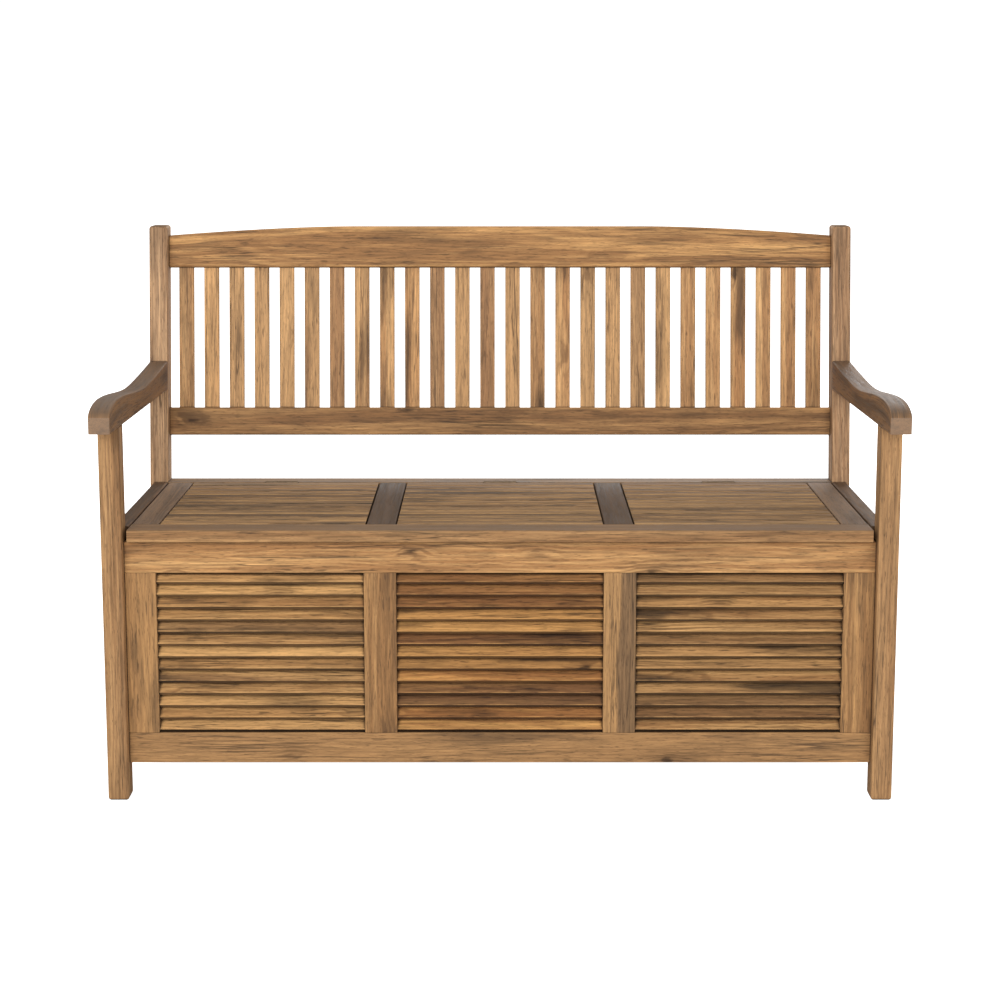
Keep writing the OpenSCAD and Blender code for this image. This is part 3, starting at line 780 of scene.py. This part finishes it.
@dataclass(frozen=True)
class SteelFinish:
    """Dull bronzed steel with a fine brushed grain and darker patches."""

    name: str = "bronzed_steel"
    colour: Rgb = (0.24, 0.17, 0.11)
    stain: Rgb = (0.12, 0.08, 0.05)
    brushing: float = 0.25
    scratch: float = 0.1 * MM

    def build(self, groups: Groups) -> bpy.types.Material:
        """Makes the material.

        Args:
            groups: The shared shader groups, unused by steel but part of every finish's call.
        Returns:
            The material.
        """
        material, graph, shader = new_material(self.name)
        own = graph.add("ShaderNodeTexCoord").outputs["Object"]
        brushed = graph.drawn(own, (60.0, 900.0, 900.0), 3.0)
        patch = graph.drawn(own, (90.0, 90.0, 90.0), 4.0, 0.6)
        stained = graph.ramp(patch, 0.5, 0.75, 0.0, 0.7)
        graph.put(shader.inputs["Base Color"], graph.mix(stained, rgba(self.colour), rgba(self.stain)))
        graph.put(shader.inputs["Metallic"], graph.minus(1.0, graph.times(stained, 0.5)))
        graph.put(shader.inputs["Roughness"], graph.ramp(brushed, 0.3, 0.7, 0.5, 0.75))
        graph.bump(shader, brushed, self.brushing, self.scratch)
        return material


WARM = WoodFinish(
    "acacia_warm", light=(0.60, 0.345, 0.14), mid=(0.34, 0.17, 0.065), deep=(0.30, 0.155, 0.065),
    smoke=0.55, spread=0.25, knots=0.5,
)
BROWN = WoodFinish(
    "acacia_brown", light=(0.47, 0.26, 0.104), mid=(0.27, 0.138, 0.054), deep=(0.14, 0.08, 0.045),
    smoke=0.75, spread=0.4, knots=0.4,
)
SPLIT = WoodFinish(
    "acacia_split", light=(0.56, 0.315, 0.125), mid=(0.36, 0.185, 0.07), deep=(0.17, 0.10, 0.05),
    smoke=0.5, spread=0.9, knots=0.0,
)
LEG = WoodFinish(
    "acacia_leg", light=(0.46, 0.262, 0.116), mid=(0.25, 0.13, 0.055), deep=(0.22, 0.117, 0.055),
    smoke=0.5, spread=0.2, knots=0.25,
)
PALE = WoodFinish(
    "acacia_pale", light=(0.66, 0.415, 0.228), mid=(0.32, 0.177, 0.088), deep=(0.25, 0.145, 0.08),
    smoke=0.7, spread=0.3, knots=0.25,
)
SLAT = WoodFinish(
    "acacia_slat", light=(0.68, 0.405, 0.182), mid=(0.42, 0.222, 0.095), deep=(0.26, 0.145, 0.075),
    smoke=0.9, spread=0.6, knots=0.35,
)
# The louvres take strong painted shade on their downward faces and in the gaps between them.
LOUVRE = WoodFinish(
    "acacia_louvre", light=(0.60, 0.34, 0.132), mid=(0.31, 0.156, 0.058), deep=(0.16, 0.085, 0.037),
    dark=(0.028, 0.018, 0.011), smoke=1.3, spread=0.75, knots=0.4, underside_shade=0.75, worn=0.6, reach=LOUVRE_REACH,
)
LIGHT_LOUVRE = WoodFinish(
    "acacia_light_louvre", light=(0.70, 0.40, 0.155), mid=(0.38, 0.20, 0.074), deep=(0.19, 0.105, 0.05),
    dark=(0.030, 0.019, 0.012), smoke=1.1, spread=0.65, knots=0.4, underside_shade=0.75, worn=0.6, reach=LOUVRE_REACH,
)
RED_LOUVRE = WoodFinish(
    "acacia_red_louvre", light=(0.62, 0.33, 0.108), mid=(0.31, 0.142, 0.048), deep=(0.13, 0.062, 0.029),
    dark=(0.028, 0.015, 0.009), smoke=1.2, spread=0.85, knots=0.4, underside_shade=0.75, worn=0.6, reach=LOUVRE_REACH,
)
CREST = WoodFinish(
    "acacia_crest", light=(0.62, 0.35, 0.138), mid=(0.31, 0.158, 0.062), deep=(0.22, 0.112, 0.052),
    spread=0.25, knots=0.35,
)
DARK = WoodFinish(
    "acacia_dark", light=(0.55, 0.305, 0.122), mid=(0.25, 0.128, 0.052), deep=(0.18, 0.09, 0.042),
    spread=0.25, knots=0.5, smoke=0.85,
)
SEAT = WoodFinish(
    "acacia_seat", light=(0.54, 0.318, 0.135), mid=(0.22, 0.123, 0.053), deep=(0.12, 0.072, 0.038),
    dark=(0.038, 0.028, 0.020), grey=(0.14, 0.108, 0.075), top_grey_and_shade=0.2, smoke=1.2, spread=0.55,
    rough=(0.65, 0.85), worn=0.5,
)
# The lid's stiles and the side rails are dark and grey partly in their own tone and partly as painted shade
# and reflection on these tops.
STILE = WoodFinish(
    "acacia_seat_stile", light=(0.165, 0.096, 0.053), mid=(0.096, 0.056, 0.031), deep=(0.076, 0.046, 0.027),
    grey=(0.09, 0.064, 0.044), top_grey_and_shade=0.5, smoke=0.6, spread=0.2, rough=(0.6, 0.8),
)
END_STILE = WoodFinish(
    "acacia_seat_end", light=(0.33, 0.198, 0.11), mid=(0.18, 0.108, 0.062), deep=(0.14, 0.086, 0.052),
    grey=(0.16, 0.118, 0.08), top_grey_and_shade=0.4, smoke=0.7, spread=0.2, rough=(0.6, 0.8),
)
SIDE_RAIL = WoodFinish(
    "acacia_side_rail", light=(0.23, 0.126, 0.061), mid=(0.125, 0.067, 0.033), deep=(0.105, 0.057, 0.03),
    grey=(0.108, 0.075, 0.048), top_grey_and_shade=0.4, smoke=0.6, spread=0.2, rough=(0.6, 0.8),
)
ARM = WoodFinish(
    "acacia_arm", light=(0.30, 0.158, 0.066), mid=(0.165, 0.083, 0.035), deep=(0.14, 0.073, 0.034),
    grey=(0.145, 0.112, 0.086), top_grey_and_shade=0.6, spread=0.2, rough=(0.5, 0.7),
    end_tint=(0.285, 0.205, 0.148), ended=0.5, worn=0.08, smoke=0.9,
)
LID_EDGE = WoodFinish(
    "acacia_lid_edge", light=(0.41, 0.23, 0.098), mid=(0.26, 0.135, 0.056), deep=(0.2, 0.11, 0.05),
    grey=(0.19, 0.12, 0.064), top_grey_and_shade=0.8, spread=0.1, smoke=0.6,
)
INSIDE = WoodFinish(
    "acacia_sawn", light=(0.42, 0.26, 0.13), mid=(0.30, 0.16, 0.08), deep=(0.22, 0.12, 0.06),
    smoke=0.3, rough=(0.7, 0.9), bump=0.9,
)
SQUARE = WoodFinish(
    "acacia_seat_rail", light=(0.37, 0.222, 0.104), mid=(0.19, 0.106, 0.048), deep=(0.12, 0.07, 0.036),
    grey=(0.13, 0.10, 0.07), top_grey_and_shade=0.3, smoke=0.9, coordinates=Coordinates.OBJECT,
)
STEEL = SteelFinish()


class Wardrobe:
    """Builds each finish's material once and hands it out."""

    def __init__(self) -> None:
        """Builds the shared groups."""
        self.groups = Groups()
        self.made: dict[str, bpy.types.Material] = {}

    def dress(self, piece: bpy.types.Object, finish: WoodFinish | SteelFinish) -> None:
        """Gives a piece a finish in its first material slot."""
        if finish.name not in self.made:
            self.made[finish.name] = finish.build(self.groups)
        if piece.data.materials:
            for index in range(len(piece.data.materials)):
                piece.material_slots[index].link = "OBJECT"
                piece.material_slots[index].material = self.made[finish.name]
        else:
            piece.data.materials.append(self.made[finish.name])


# ---------------------------------------------------------------- sub-assemblies


@dataclass
class Assembly:
    """What every sub-assembly shares: a joiner, a wardrobe and the way a node is replaced."""

    joiner: Joiner
    wardrobe: Wardrobe
    easing: float = 2.0 * MM

    def stand_for(self, node: str, surfaces: list[Surface], finish: WoodFinish) -> None:
        """Makes one piece of some surfaces and puts it in a CAD node's place.

        Args:
            node: The node it stands for, and rides with.
            surfaces: The members' surfaces.
            finish: Its finish.
        """
        piece = make_mesh(node + ".wood", Joiner.join(surfaces))
        self.wardrobe.dress(piece, finish)
        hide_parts(node)
        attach(piece, node_body(node))
        points = len(piece.data.vertices)
        log.info("%s: %d members, %d points, %s", node, len(surfaces), points, finish.name)

    def surfaces(self, members: list[Member]) -> list[Surface]:
        """The surfaces of some members, cut from the tree in their order."""
        return [self.joiner.surface(each) for each in members]

    def square_member(self, solid: Array, grain: Grain, **changes: object) -> Member:
        """The bar that fills a solid that stands square to the frame, without its tenons.

        A tenon is narrower than its rail, so the bar's length is taken between the points that
        reach the solid's full width.

        Args:
            solid: The solid's points.
            grain: Which way the fibres run.
            changes: Other values of the member.
        Returns:
            The member.
        """
        axes = grain.axes()
        local = solid @ axes.T
        low, high = local.min(axis=0), local.max(axis=0)
        sides = local[:, 1:]
        full = ((sides < low[1:] + TOUCH) | (sides > high[1:] - TOUCH)).any(axis=1)
        low[0], high[0] = local[full, 0].min(), local[full, 0].max()
        middle = (low + high) / 2 @ axes
        return Member(middle, axes, (high - low) / 2, **{"radius": self.easing, **changes})

    def leaning_member(self, solid: Array, **changes: object) -> Member:
        """The bar that fills a plain solid at any angle, from its points' principal axes.

        Args:
            solid: The solid's eight corners.
            changes: Other values of the member.
        Returns:
            The member.
        """
        middle = solid.mean(axis=0)
        _, axes = np.linalg.eigh(np.cov((solid - middle).T))
        axes = axes[:, ::-1].T
        axes[2] = np.cross(axes[0], axes[1])
        half = np.abs((solid - middle) @ axes.T).max(axis=0)
        return Member(middle, axes, half, **{"radius": self.easing, **changes})

    def square_node(self, node: str, grain: Grain, finish: WoodFinish, **changes: object) -> None:
        """Replaces a node whose solids are plain bars, square to the frame."""
        members = [self.square_member(solid, grain, **changes) for solid in node_solids(node)]
        self.stand_for(node, self.surfaces(members), finish)


@dataclass
class Panel(Assembly):
    """A louvred side of the box: rails, stiles and louvres."""

    side: str = "front"
    rails: tuple[str, ...] = ("top_rail", "bottom_rail")
    stiles: tuple[str, ...] = (
        "end_stile_left", "middle_stile_left", "middle_stile_right", "end_stile_right",
    )
    fields: tuple[str, ...] = ("louvres_left", "louvres_middle", "louvres_right")
    top_finish: WoodFinish = WARM
    finish: WoodFinish = BROWN
    field_finishes: tuple[WoodFinish, ...] = (LIGHT_LOUVRE, RED_LOUVRE, LOUVRE)
    split_stile: str = "middle_stile_right"
    split: tuple[float, float] = (math.pi, 0.107)
    stile_tone: float = 0.3
    bottom_tone: float = 0.9
    frame_easing: float = 1.0 * MM
    louvre_easing: float = 0.8 * MM

    def build(self) -> None:
        """Makes the panel's pieces; one stile is cut across the edge of the heartwood."""
        radius = self.frame_easing
        for rail, finish, tone in zip(self.rails, (self.top_finish, self.finish), (None, self.bottom_tone)):
            self.square_node(f"{self.side}_{rail}", Grain.ALONG_X, finish, radius=radius, tone=tone)
        for stile in self.stiles:
            if stile == self.split_stile:
                finish, own = SPLIT, {"cut": self.split, "tone": 1.0}
            else:
                finish, own = self.finish, {"tone": self.stile_tone}
            self.square_node(f"{self.side}_{stile}", Grain.ALONG_Z, finish, radius=radius, **own)
        for louvres, finish in zip(self.fields, self.field_finishes):
            self.louvre_node(f"{self.side}_{louvres}", finish)

    def louvre_node(self, node: str, finish: WoodFinish) -> None:
        """A field of louvres."""
        members = [self.leaning_member(solid, radius=self.louvre_easing) for solid in node_solids(node)]
        self.stand_for(node, self.surfaces(members), finish)


@dataclass
class EndPanel(Panel):
    """The louvred panel at one end of the bench; its top rail is flush with the lid."""

    hand: str = "left"

    def build(self) -> None:
        """Makes the end panel's pieces."""
        self.square_node(f"side_top_rail_{self.hand}", Grain.ALONG_Y, SIDE_RAIL)
        self.square_node(f"side_bottom_rail_{self.hand}", Grain.ALONG_Y, self.finish)
        self.square_node(f"side_stiles_{self.hand}", Grain.ALONG_Z, self.finish)
        self.louvre_node(f"side_louvres_{self.hand}", LOUVRE)


@dataclass
class Supports(Assembly):
    """Front legs, back posts and armrests."""

    leg_easing: float = 2.2 * MM
    foot: float = 5.0 * MM
    joint: float = 0.5 * MM
    arm_easing: float = 2.0 * MM
    post_rings: int = 14
    arm_rings: int = 60

    def build(self) -> None:
        """Makes both ends' supports."""
        for hand in ("left", "right"):
            tips = (self.foot, self.joint)
            self.square_node(f"front_leg_{hand}", Grain.ALONG_Z, LEG, radius=self.leg_easing, tips=tips)
            self._post(f"back_post_{hand}")
            self._arm(f"armrest_{hand}", hand)

    def _post(self, node: str) -> None:
        """A post: upright to the seat, then leaning.

        Above the seat a point moves back by the lean's tangent times its height over the seat.
        """
        low, high = node_corners(node)
        seat_low, seat_high = node_corners("rear_seat_rail")
        depth = seat_high[1] - seat_low[1]
        seat = node_corners("lid_front_rail")[1][2]
        slope = self.post_slope()
        half = np.array([(high[2] - low[2]) / 2, (high[0] - low[0]) / 2, depth / 2])
        middle = np.array([(low[0] + high[0]) / 2, low[1] + depth / 2, (low[2] + high[2]) / 2])
        knee = seat - middle[2]

        def lean(along: Array, across: Array, through: Array) -> tuple[Array, Array, Array]:
            """Shifts points back in proportion to their height over the knee."""
            return along, across, through + slope * np.maximum(0.0, along - knee)

        tips = (self.foot, self.foot)
        post = Member(middle, Grain.ALONG_Z.axes(), half, self.leg_easing, tips, lean, (knee,))
        self.stand_for(node, [self.joiner.surface(post, self.post_rings)], PALE)

    def _arm(self, node: str, hand: str) -> None:
        """An armrest: its section keeps its flat underside while its top follows the wave.

        Heights are stretched from the underside so that the bar's flat top lands on the arm's
        top line, the bar is sheared sideways so that it runs from the leg to the post, and its
        back end is sheared to lie on the leaning post.

        Args:
            node: The CAD node.
            hand: Which end of the bench it is on.
        """
        solid = node_solids(node)[0]
        low, high = node_corners(node)
        leg_low, leg_high = node_corners(f"front_leg_{hand}")
        post_low, post_high = node_corners(f"back_post_{hand}")
        sunk = leg_high[2] - low[2]
        foot = solid[np.abs(solid[:, 2] - low[2]) < TOUCH]
        back_end = foot[:, 1].max()
        above = solid[:, 2] > low[2] + sunk + MM
        outside = (solid[:, 1] < back_end - MM) | (solid[:, 2] > high[2] - TOUCH)
        line = solid[above & outside]
        spots, tops = top_line(line[:, 1], line[:, 2])
        front, back = (leg_low[0] + leg_high[0]) / 2, (post_low[0] + post_high[0]) / 2
        run = back_end - leg_low[1]
        width = np.array([leg_high[0] - leg_low[0], post_high[0] - post_low[0]])
        half = np.array([(back_end - low[1]) / 2, (high[2] - low[2]) / 2, width[0] / 2])
        middle = np.array([front, low[1] + half[0], low[2] + half[1]])
        slide, thin = (back - front) / run, (width[1] / width[0] - 1.0) / run
        slope = self.post_slope()

        def flow(along: Array, across: Array, through: Array) -> tuple[Array, Array, Array]:
            """Stretches heights to the top line, shears the bar to the post and leans its back end."""
            share = (across + half[1]) / (2.0 * half[1])
            rise = share * (np.interp(along + middle[1], spots, tops) - low[2])
            along = along + slope * rise * np.clip(along / half[0], 0.0, 1.0)
            rise = share * (np.interp(along + middle[1], spots, tops) - low[2])
            gone = along + middle[1] - leg_low[1]
            return along, rise - half[1], through * (1.0 + thin * gone) + slide * gone

        tips, stops = (self.joint, self.joint), self._nose_stops(half[0])
        arm = Member(middle, Grain.ALONG_Y.axes(), half, self.arm_easing, tips, flow, stops)
        self.stand_for(node, [self.joiner.surface(arm, self.arm_rings)], ARM)

    @staticmethod
    def post_slope() -> float:
        """How far a post leans back for each unit of height above the seat."""
        low, high = node_corners("back_post_left")
        seat_low, seat_high = node_corners("rear_seat_rail")
        seat = node_corners("lid_front_rail")[1][2]
        return (high[1] - low[1] - (seat_high[1] - seat_low[1])) / (high[2] - seat)

    @staticmethod
    def _nose_stops(half: float) -> tuple[float, ...]:
        """Rings close together at the nose: spaced as the cosine of equal angles."""
        angles = np.radians(np.linspace(*NOSE_ANGLES, NOSE_RINGS))
        return tuple(-half + NOSE_LENGTH * (1.0 - np.cos(angles)))


@dataclass
class Backrest(Assembly):
    """Crest rail, lower back rail and the slats between them."""

    rail_easing: float = 3.0 * MM
    crest_rings: int = 40

    def build(self) -> None:
        """Makes the backrest's pieces."""
        slats = [self.leaning_member(solid) for solid in node_solids("back_slats")]
        self.stand_for("back_slats", self.surfaces(slats), SLAT)
        upright = slats[0].axes[0] * np.sign(slats[0].axes[0][2])
        self._rail("lower_back_rail", upright, DARK)
        self._rail("crest_rail", upright, CREST)

    def _rail(self, node: str, upright: Array, finish: WoodFinish) -> None:
        """A rail in the leaning plane, whose top edge follows the CAD rail's top.

        Heights in the upper half are scaled so that the bar's flat top lands on the top line.

        Args:
            node: The CAD node.
            upright: Unit vector up the lean.
            finish: Its finish.
        """
        solid = node_solids(node)[0]
        axes = np.stack([AXES[0], upright, np.cross(AXES[0], upright)])
        local = solid @ axes.T
        low, high = local.min(axis=0), local.max(axis=0)
        foot = local[np.abs(local[:, 1] - low[1]) < TOUCH]
        low[0], high[0] = foot[:, 0].min(), foot[:, 0].max()
        middle, half = (low + high) / 2, (high - low) / 2
        face = np.abs(local[:, 2] - low[2]) < TOUCH
        top = local[face & (local[:, 1] > middle[1] + 0.2 * half[1])]
        spots, tops = top_line(top[:, 0], top[:, 1])

        def crown(along: Array, across: Array, through: Array) -> tuple[Array, Array, Array]:
            """Scales heights above the middle to the top line."""
            rise = np.interp(along + middle[0], spots, tops) - middle[1]
            return along, np.where(across > 0.0, across * rise / half[1], across), through

        stops = tuple(spots - middle[0])
        rail = Member(middle @ axes, axes, half, self.rail_easing, bend=crown, stops=stops)
        self.stand_for(node, [self.joiner.surface(rail, self.crest_rings)], finish)


@dataclass
class Lid(Assembly):
    """The slatted seat that lifts: rails, stiles and slats, notched for the hinges."""

    tongue: float = 8.0 * MM
    shrinkage: float = 2.2 * MM
    notch: float = 2.0 * MM
    notch_margin: float = 1.5 * MM

    def build(self) -> None:
        """Makes the lid's pieces."""
        self.square_node("lid_front_rail", Grain.ALONG_X, LID_EDGE)
        for hand in ("left", "right"):
            self.square_node(f"lid_end_stile_{hand}", Grain.ALONG_Y, END_STILE)
            self.square_node(f"lid_middle_stile_{hand}", Grain.ALONG_Y, STILE)
        for field_name in ("left", "middle", "right"):
            self._slats(f"lid_slats_{field_name}")

    def _slats(self, node: str) -> None:
        """A field of slats, without the tongues; the last one has a notch beside each hinge."""
        solids = sorted(node_solids(node), key=lambda solid: solid[:, 1].mean())
        members = [self._shoulders(self.square_member(solid, Grain.ALONG_X)) for solid in solids]
        members[-1] = self._notched(members[-1])
        self.stand_for(node, self.surfaces(members), SEAT)

    def _shoulders(self, member: Member) -> Member:
        """The slat between its shoulders, which have dried a little way off the stiles."""
        return replace(member, half=member.half - np.array([self.tongue + self.shrinkage, 0.0, 0.0]))

    def _notched(self, member: Member) -> Member:
        """The slat next to the hinge line, cut back where a hinge's knuckles lie."""
        low, high = hinge_spans()
        starts = low - self.notch_margin - member.middle[0]
        stops = high + self.notch_margin - member.middle[0]
        half = member.half[1]

        def cut_back(along: Array, across: Array, through: Array) -> tuple[Array, Array, Array]:
            """Moves the back face forward inside each notch."""
            inside = ((along[..., None] > starts - 1e-6) & (along[..., None] < stops + 1e-6)).any(axis=-1)
            return along, np.where(inside & (across > half / 2), across - self.notch, across), through

        step = MM / 5
        rings = np.concatenate([starts, starts - step, stops, stops + step])
        return replace(member, bend=cut_back, stops=tuple(rings))


def hinge_spans() -> tuple[Array, Array]:
    """Lowest and highest X of each hinge, from the pins."""
    pins = node_solids("hinge_pins")
    return np.array([pin[:, 0].min() for pin in pins]), np.array([pin[:, 0].max() for pin in pins])


@dataclass
class Inside(Assembly):
    """Floor slats, floor ledgers and the ledgers under the lid."""

    def build(self) -> None:
        """Makes the pieces inside the box."""
        self.square_node("floor_ledgers", Grain.ALONG_X, INSIDE)
        self.square_node("floor_slats", Grain.ALONG_Y, INSIDE)
        self.square_node("lid_ledgers", Grain.ALONG_Y, INSIDE)


@dataclass
class Carried(Assembly):
    """CAD nodes that stay as they are: the wooden ones with eased edges, and all with a finish."""

    wood: tuple[str, ...] = ("rear_seat_rail", "lid_back_batten")
    steel: tuple[str, ...] = (
        "hinge_leaves_lid", "hinge_leaves_frame", "hinge_pins", "hinge_screws_lid", "hinge_screws_frame",
    )
    bevel: float = 1.5 * MM

    def build(self) -> None:
        """Eases the wooden carried nodes and dresses them all."""
        for node in self.wood:
            self._ease(frame["nodes"][node])
            self.wardrobe.dress(frame["nodes"][node], SQUARE)
            log.info("%s: carried over, %s", node, SQUARE.name)
        for node in self.steel:
            self.wardrobe.dress(frame["nodes"][node], STEEL)
            log.info("%s: carried over, %s", node, STEEL.name)

    def _ease(self, piece: bpy.types.Object) -> None:
        """Welds the loose triangles and bevels the sharp edges, as live modifiers."""
        weld = piece.modifiers.new("weld", "WELD")
        weld.merge_threshold = MM / 100
        bevel = piece.modifiers.new("ease", "BEVEL")
        bevel.width = self.bevel
        bevel.segments = 2
        bevel.limit_method = "ANGLE"
        bevel.angle_limit = math.radians(50.0)


# ---------------------------------------------------------------- studio


@dataclass(frozen=True)
class Studio:
    """Camera, lights, world and floor.

    Attributes:
        ahead: Distance of the camera in front of the front legs.
        eye: Height of the camera.
        pitch: How far the camera looks down, in degrees.
        lens: Focal length in millimetres.
        floor_half: Half the length of the floor's sides.
        lamps: Name, place and power of each soft lamp.
        lamp_size: Side of every lamp.
        aim: Point that every lamp faces.
    """

    ahead: float = 3.537
    eye: float = 1.1206
    pitch: float = 9.872
    lens: float = 79.96
    floor_half: float = 60.0
    lamps: tuple[tuple[str, Rgb, float], ...] = (
        ("key", (-1.8, -5.2, 3.0), 170.0),
        ("fill", (3.0, -4.8, 1.6), 80.0),
        ("back", (0.8, 4.6, 3.0), 110.0),
    )
    lamp_size: float = 3.0
    aim: Rgb = (0.0, 0.0, 0.4)

    def build(self) -> None:
        """Makes the whole studio."""
        self._camera()
        self._floor()
        for name, place, power in self.lamps:
            self._lamp(name, place, power)
        self._world()
        bpy.context.scene.view_settings.view_transform = "Standard"

    def _camera(self) -> None:
        """Places the camera on the bench's middle line."""
        data = bpy.data.cameras.new("camera")
        data.lens = self.lens
        data.sensor_width = SENSOR
        data.clip_end = 200.0
        camera = bpy.data.objects.new("camera", data)
        camera.location = (0.0, node_corners("front_leg_left")[0][1] - self.ahead, self.eye)
        camera.rotation_euler = (math.radians(90.0 - self.pitch), 0.0, 0.0)
        bpy.context.scene.collection.objects.link(camera)
        bpy.context.scene.camera = camera

    def _floor(self) -> None:
        """A plain pale floor that the camera sees as white."""
        half = self.floor_half
        mesh = bpy.data.meshes.new("floor")
        corners = [(-half, -half, 0), (half, -half, 0), (half, half, 0), (-half, half, 0)]
        mesh.from_pydata(corners, [], [(0, 1, 2, 3)])
        floor = bpy.data.objects.new("floor", mesh)
        bpy.context.scene.collection.objects.link(floor)
        material, graph, shader = new_material("floor")
        shader.inputs["Base Color"].default_value = (0.92, 0.92, 0.92, 1.0)
        shader.inputs["Roughness"].default_value = 0.9
        shader.inputs["Specular IOR Level"].default_value = 0.1
        shader.inputs["Emission Color"].default_value = (1.0, 1.0, 1.0, 1.0)
        seen = graph.add("ShaderNodeLightPath").outputs["Is Camera Ray"]
        graph.put(shader.inputs["Emission Strength"], seen)
        mesh.materials.append(material)

    def _lamp(self, name: str, place: Rgb, power: float) -> None:
        """A square soft lamp that faces the bench."""
        data = bpy.data.lights.new(name, "AREA")
        data.size = self.lamp_size
        data.energy = power
        lamp = bpy.data.objects.new(name, data)
        lamp.location = place
        lamp.rotation_euler = (Vector(self.aim) - Vector(place)).to_track_quat("-Z", "Y").to_euler()
        bpy.context.scene.collection.objects.link(lamp)

    @staticmethod
    def _world() -> None:
        """An even white surround."""
        world = bpy.data.worlds.new("surround")
        world.use_nodes = True
        graph = Graph(world.node_tree)
        back = world.node_tree.nodes["Background"]
        seen = graph.add("ShaderNodeLightPath").outputs["Is Camera Ray"]
        graph.put(back.inputs["Color"], graph.mix(seen, rgba((0.56, 0.55, 0.54)), rgba((1.05, 1.05, 1.05))))
        back.inputs["Strength"].default_value = 1.0
        bpy.context.scene.world = world


def main() -> None:
    """Builds the studio and the bench's sub-assemblies in order."""
    logging.basicConfig(level=logging.INFO, format="%(name)s: %(message)s")
    Studio().build()
    joiner, wardrobe = Joiner(seed=11), Wardrobe()
    assemblies = [
        Panel(joiner, wardrobe),
        Panel(joiner, wardrobe, side="back", top_finish=DARK),
        EndPanel(joiner, wardrobe, hand="left"),
        EndPanel(joiner, wardrobe, hand="right"),
        Supports(joiner, wardrobe),
        Backrest(joiner, wardrobe),
        Lid(joiner, wardrobe),
        Inside(joiner, wardrobe),
        Carried(joiner, wardrobe),
    ]
    for assembly in assemblies:
        log.info("building %s", type(assembly).__name__)
        assembly.build()


if __name__ == "__main__":
    main()
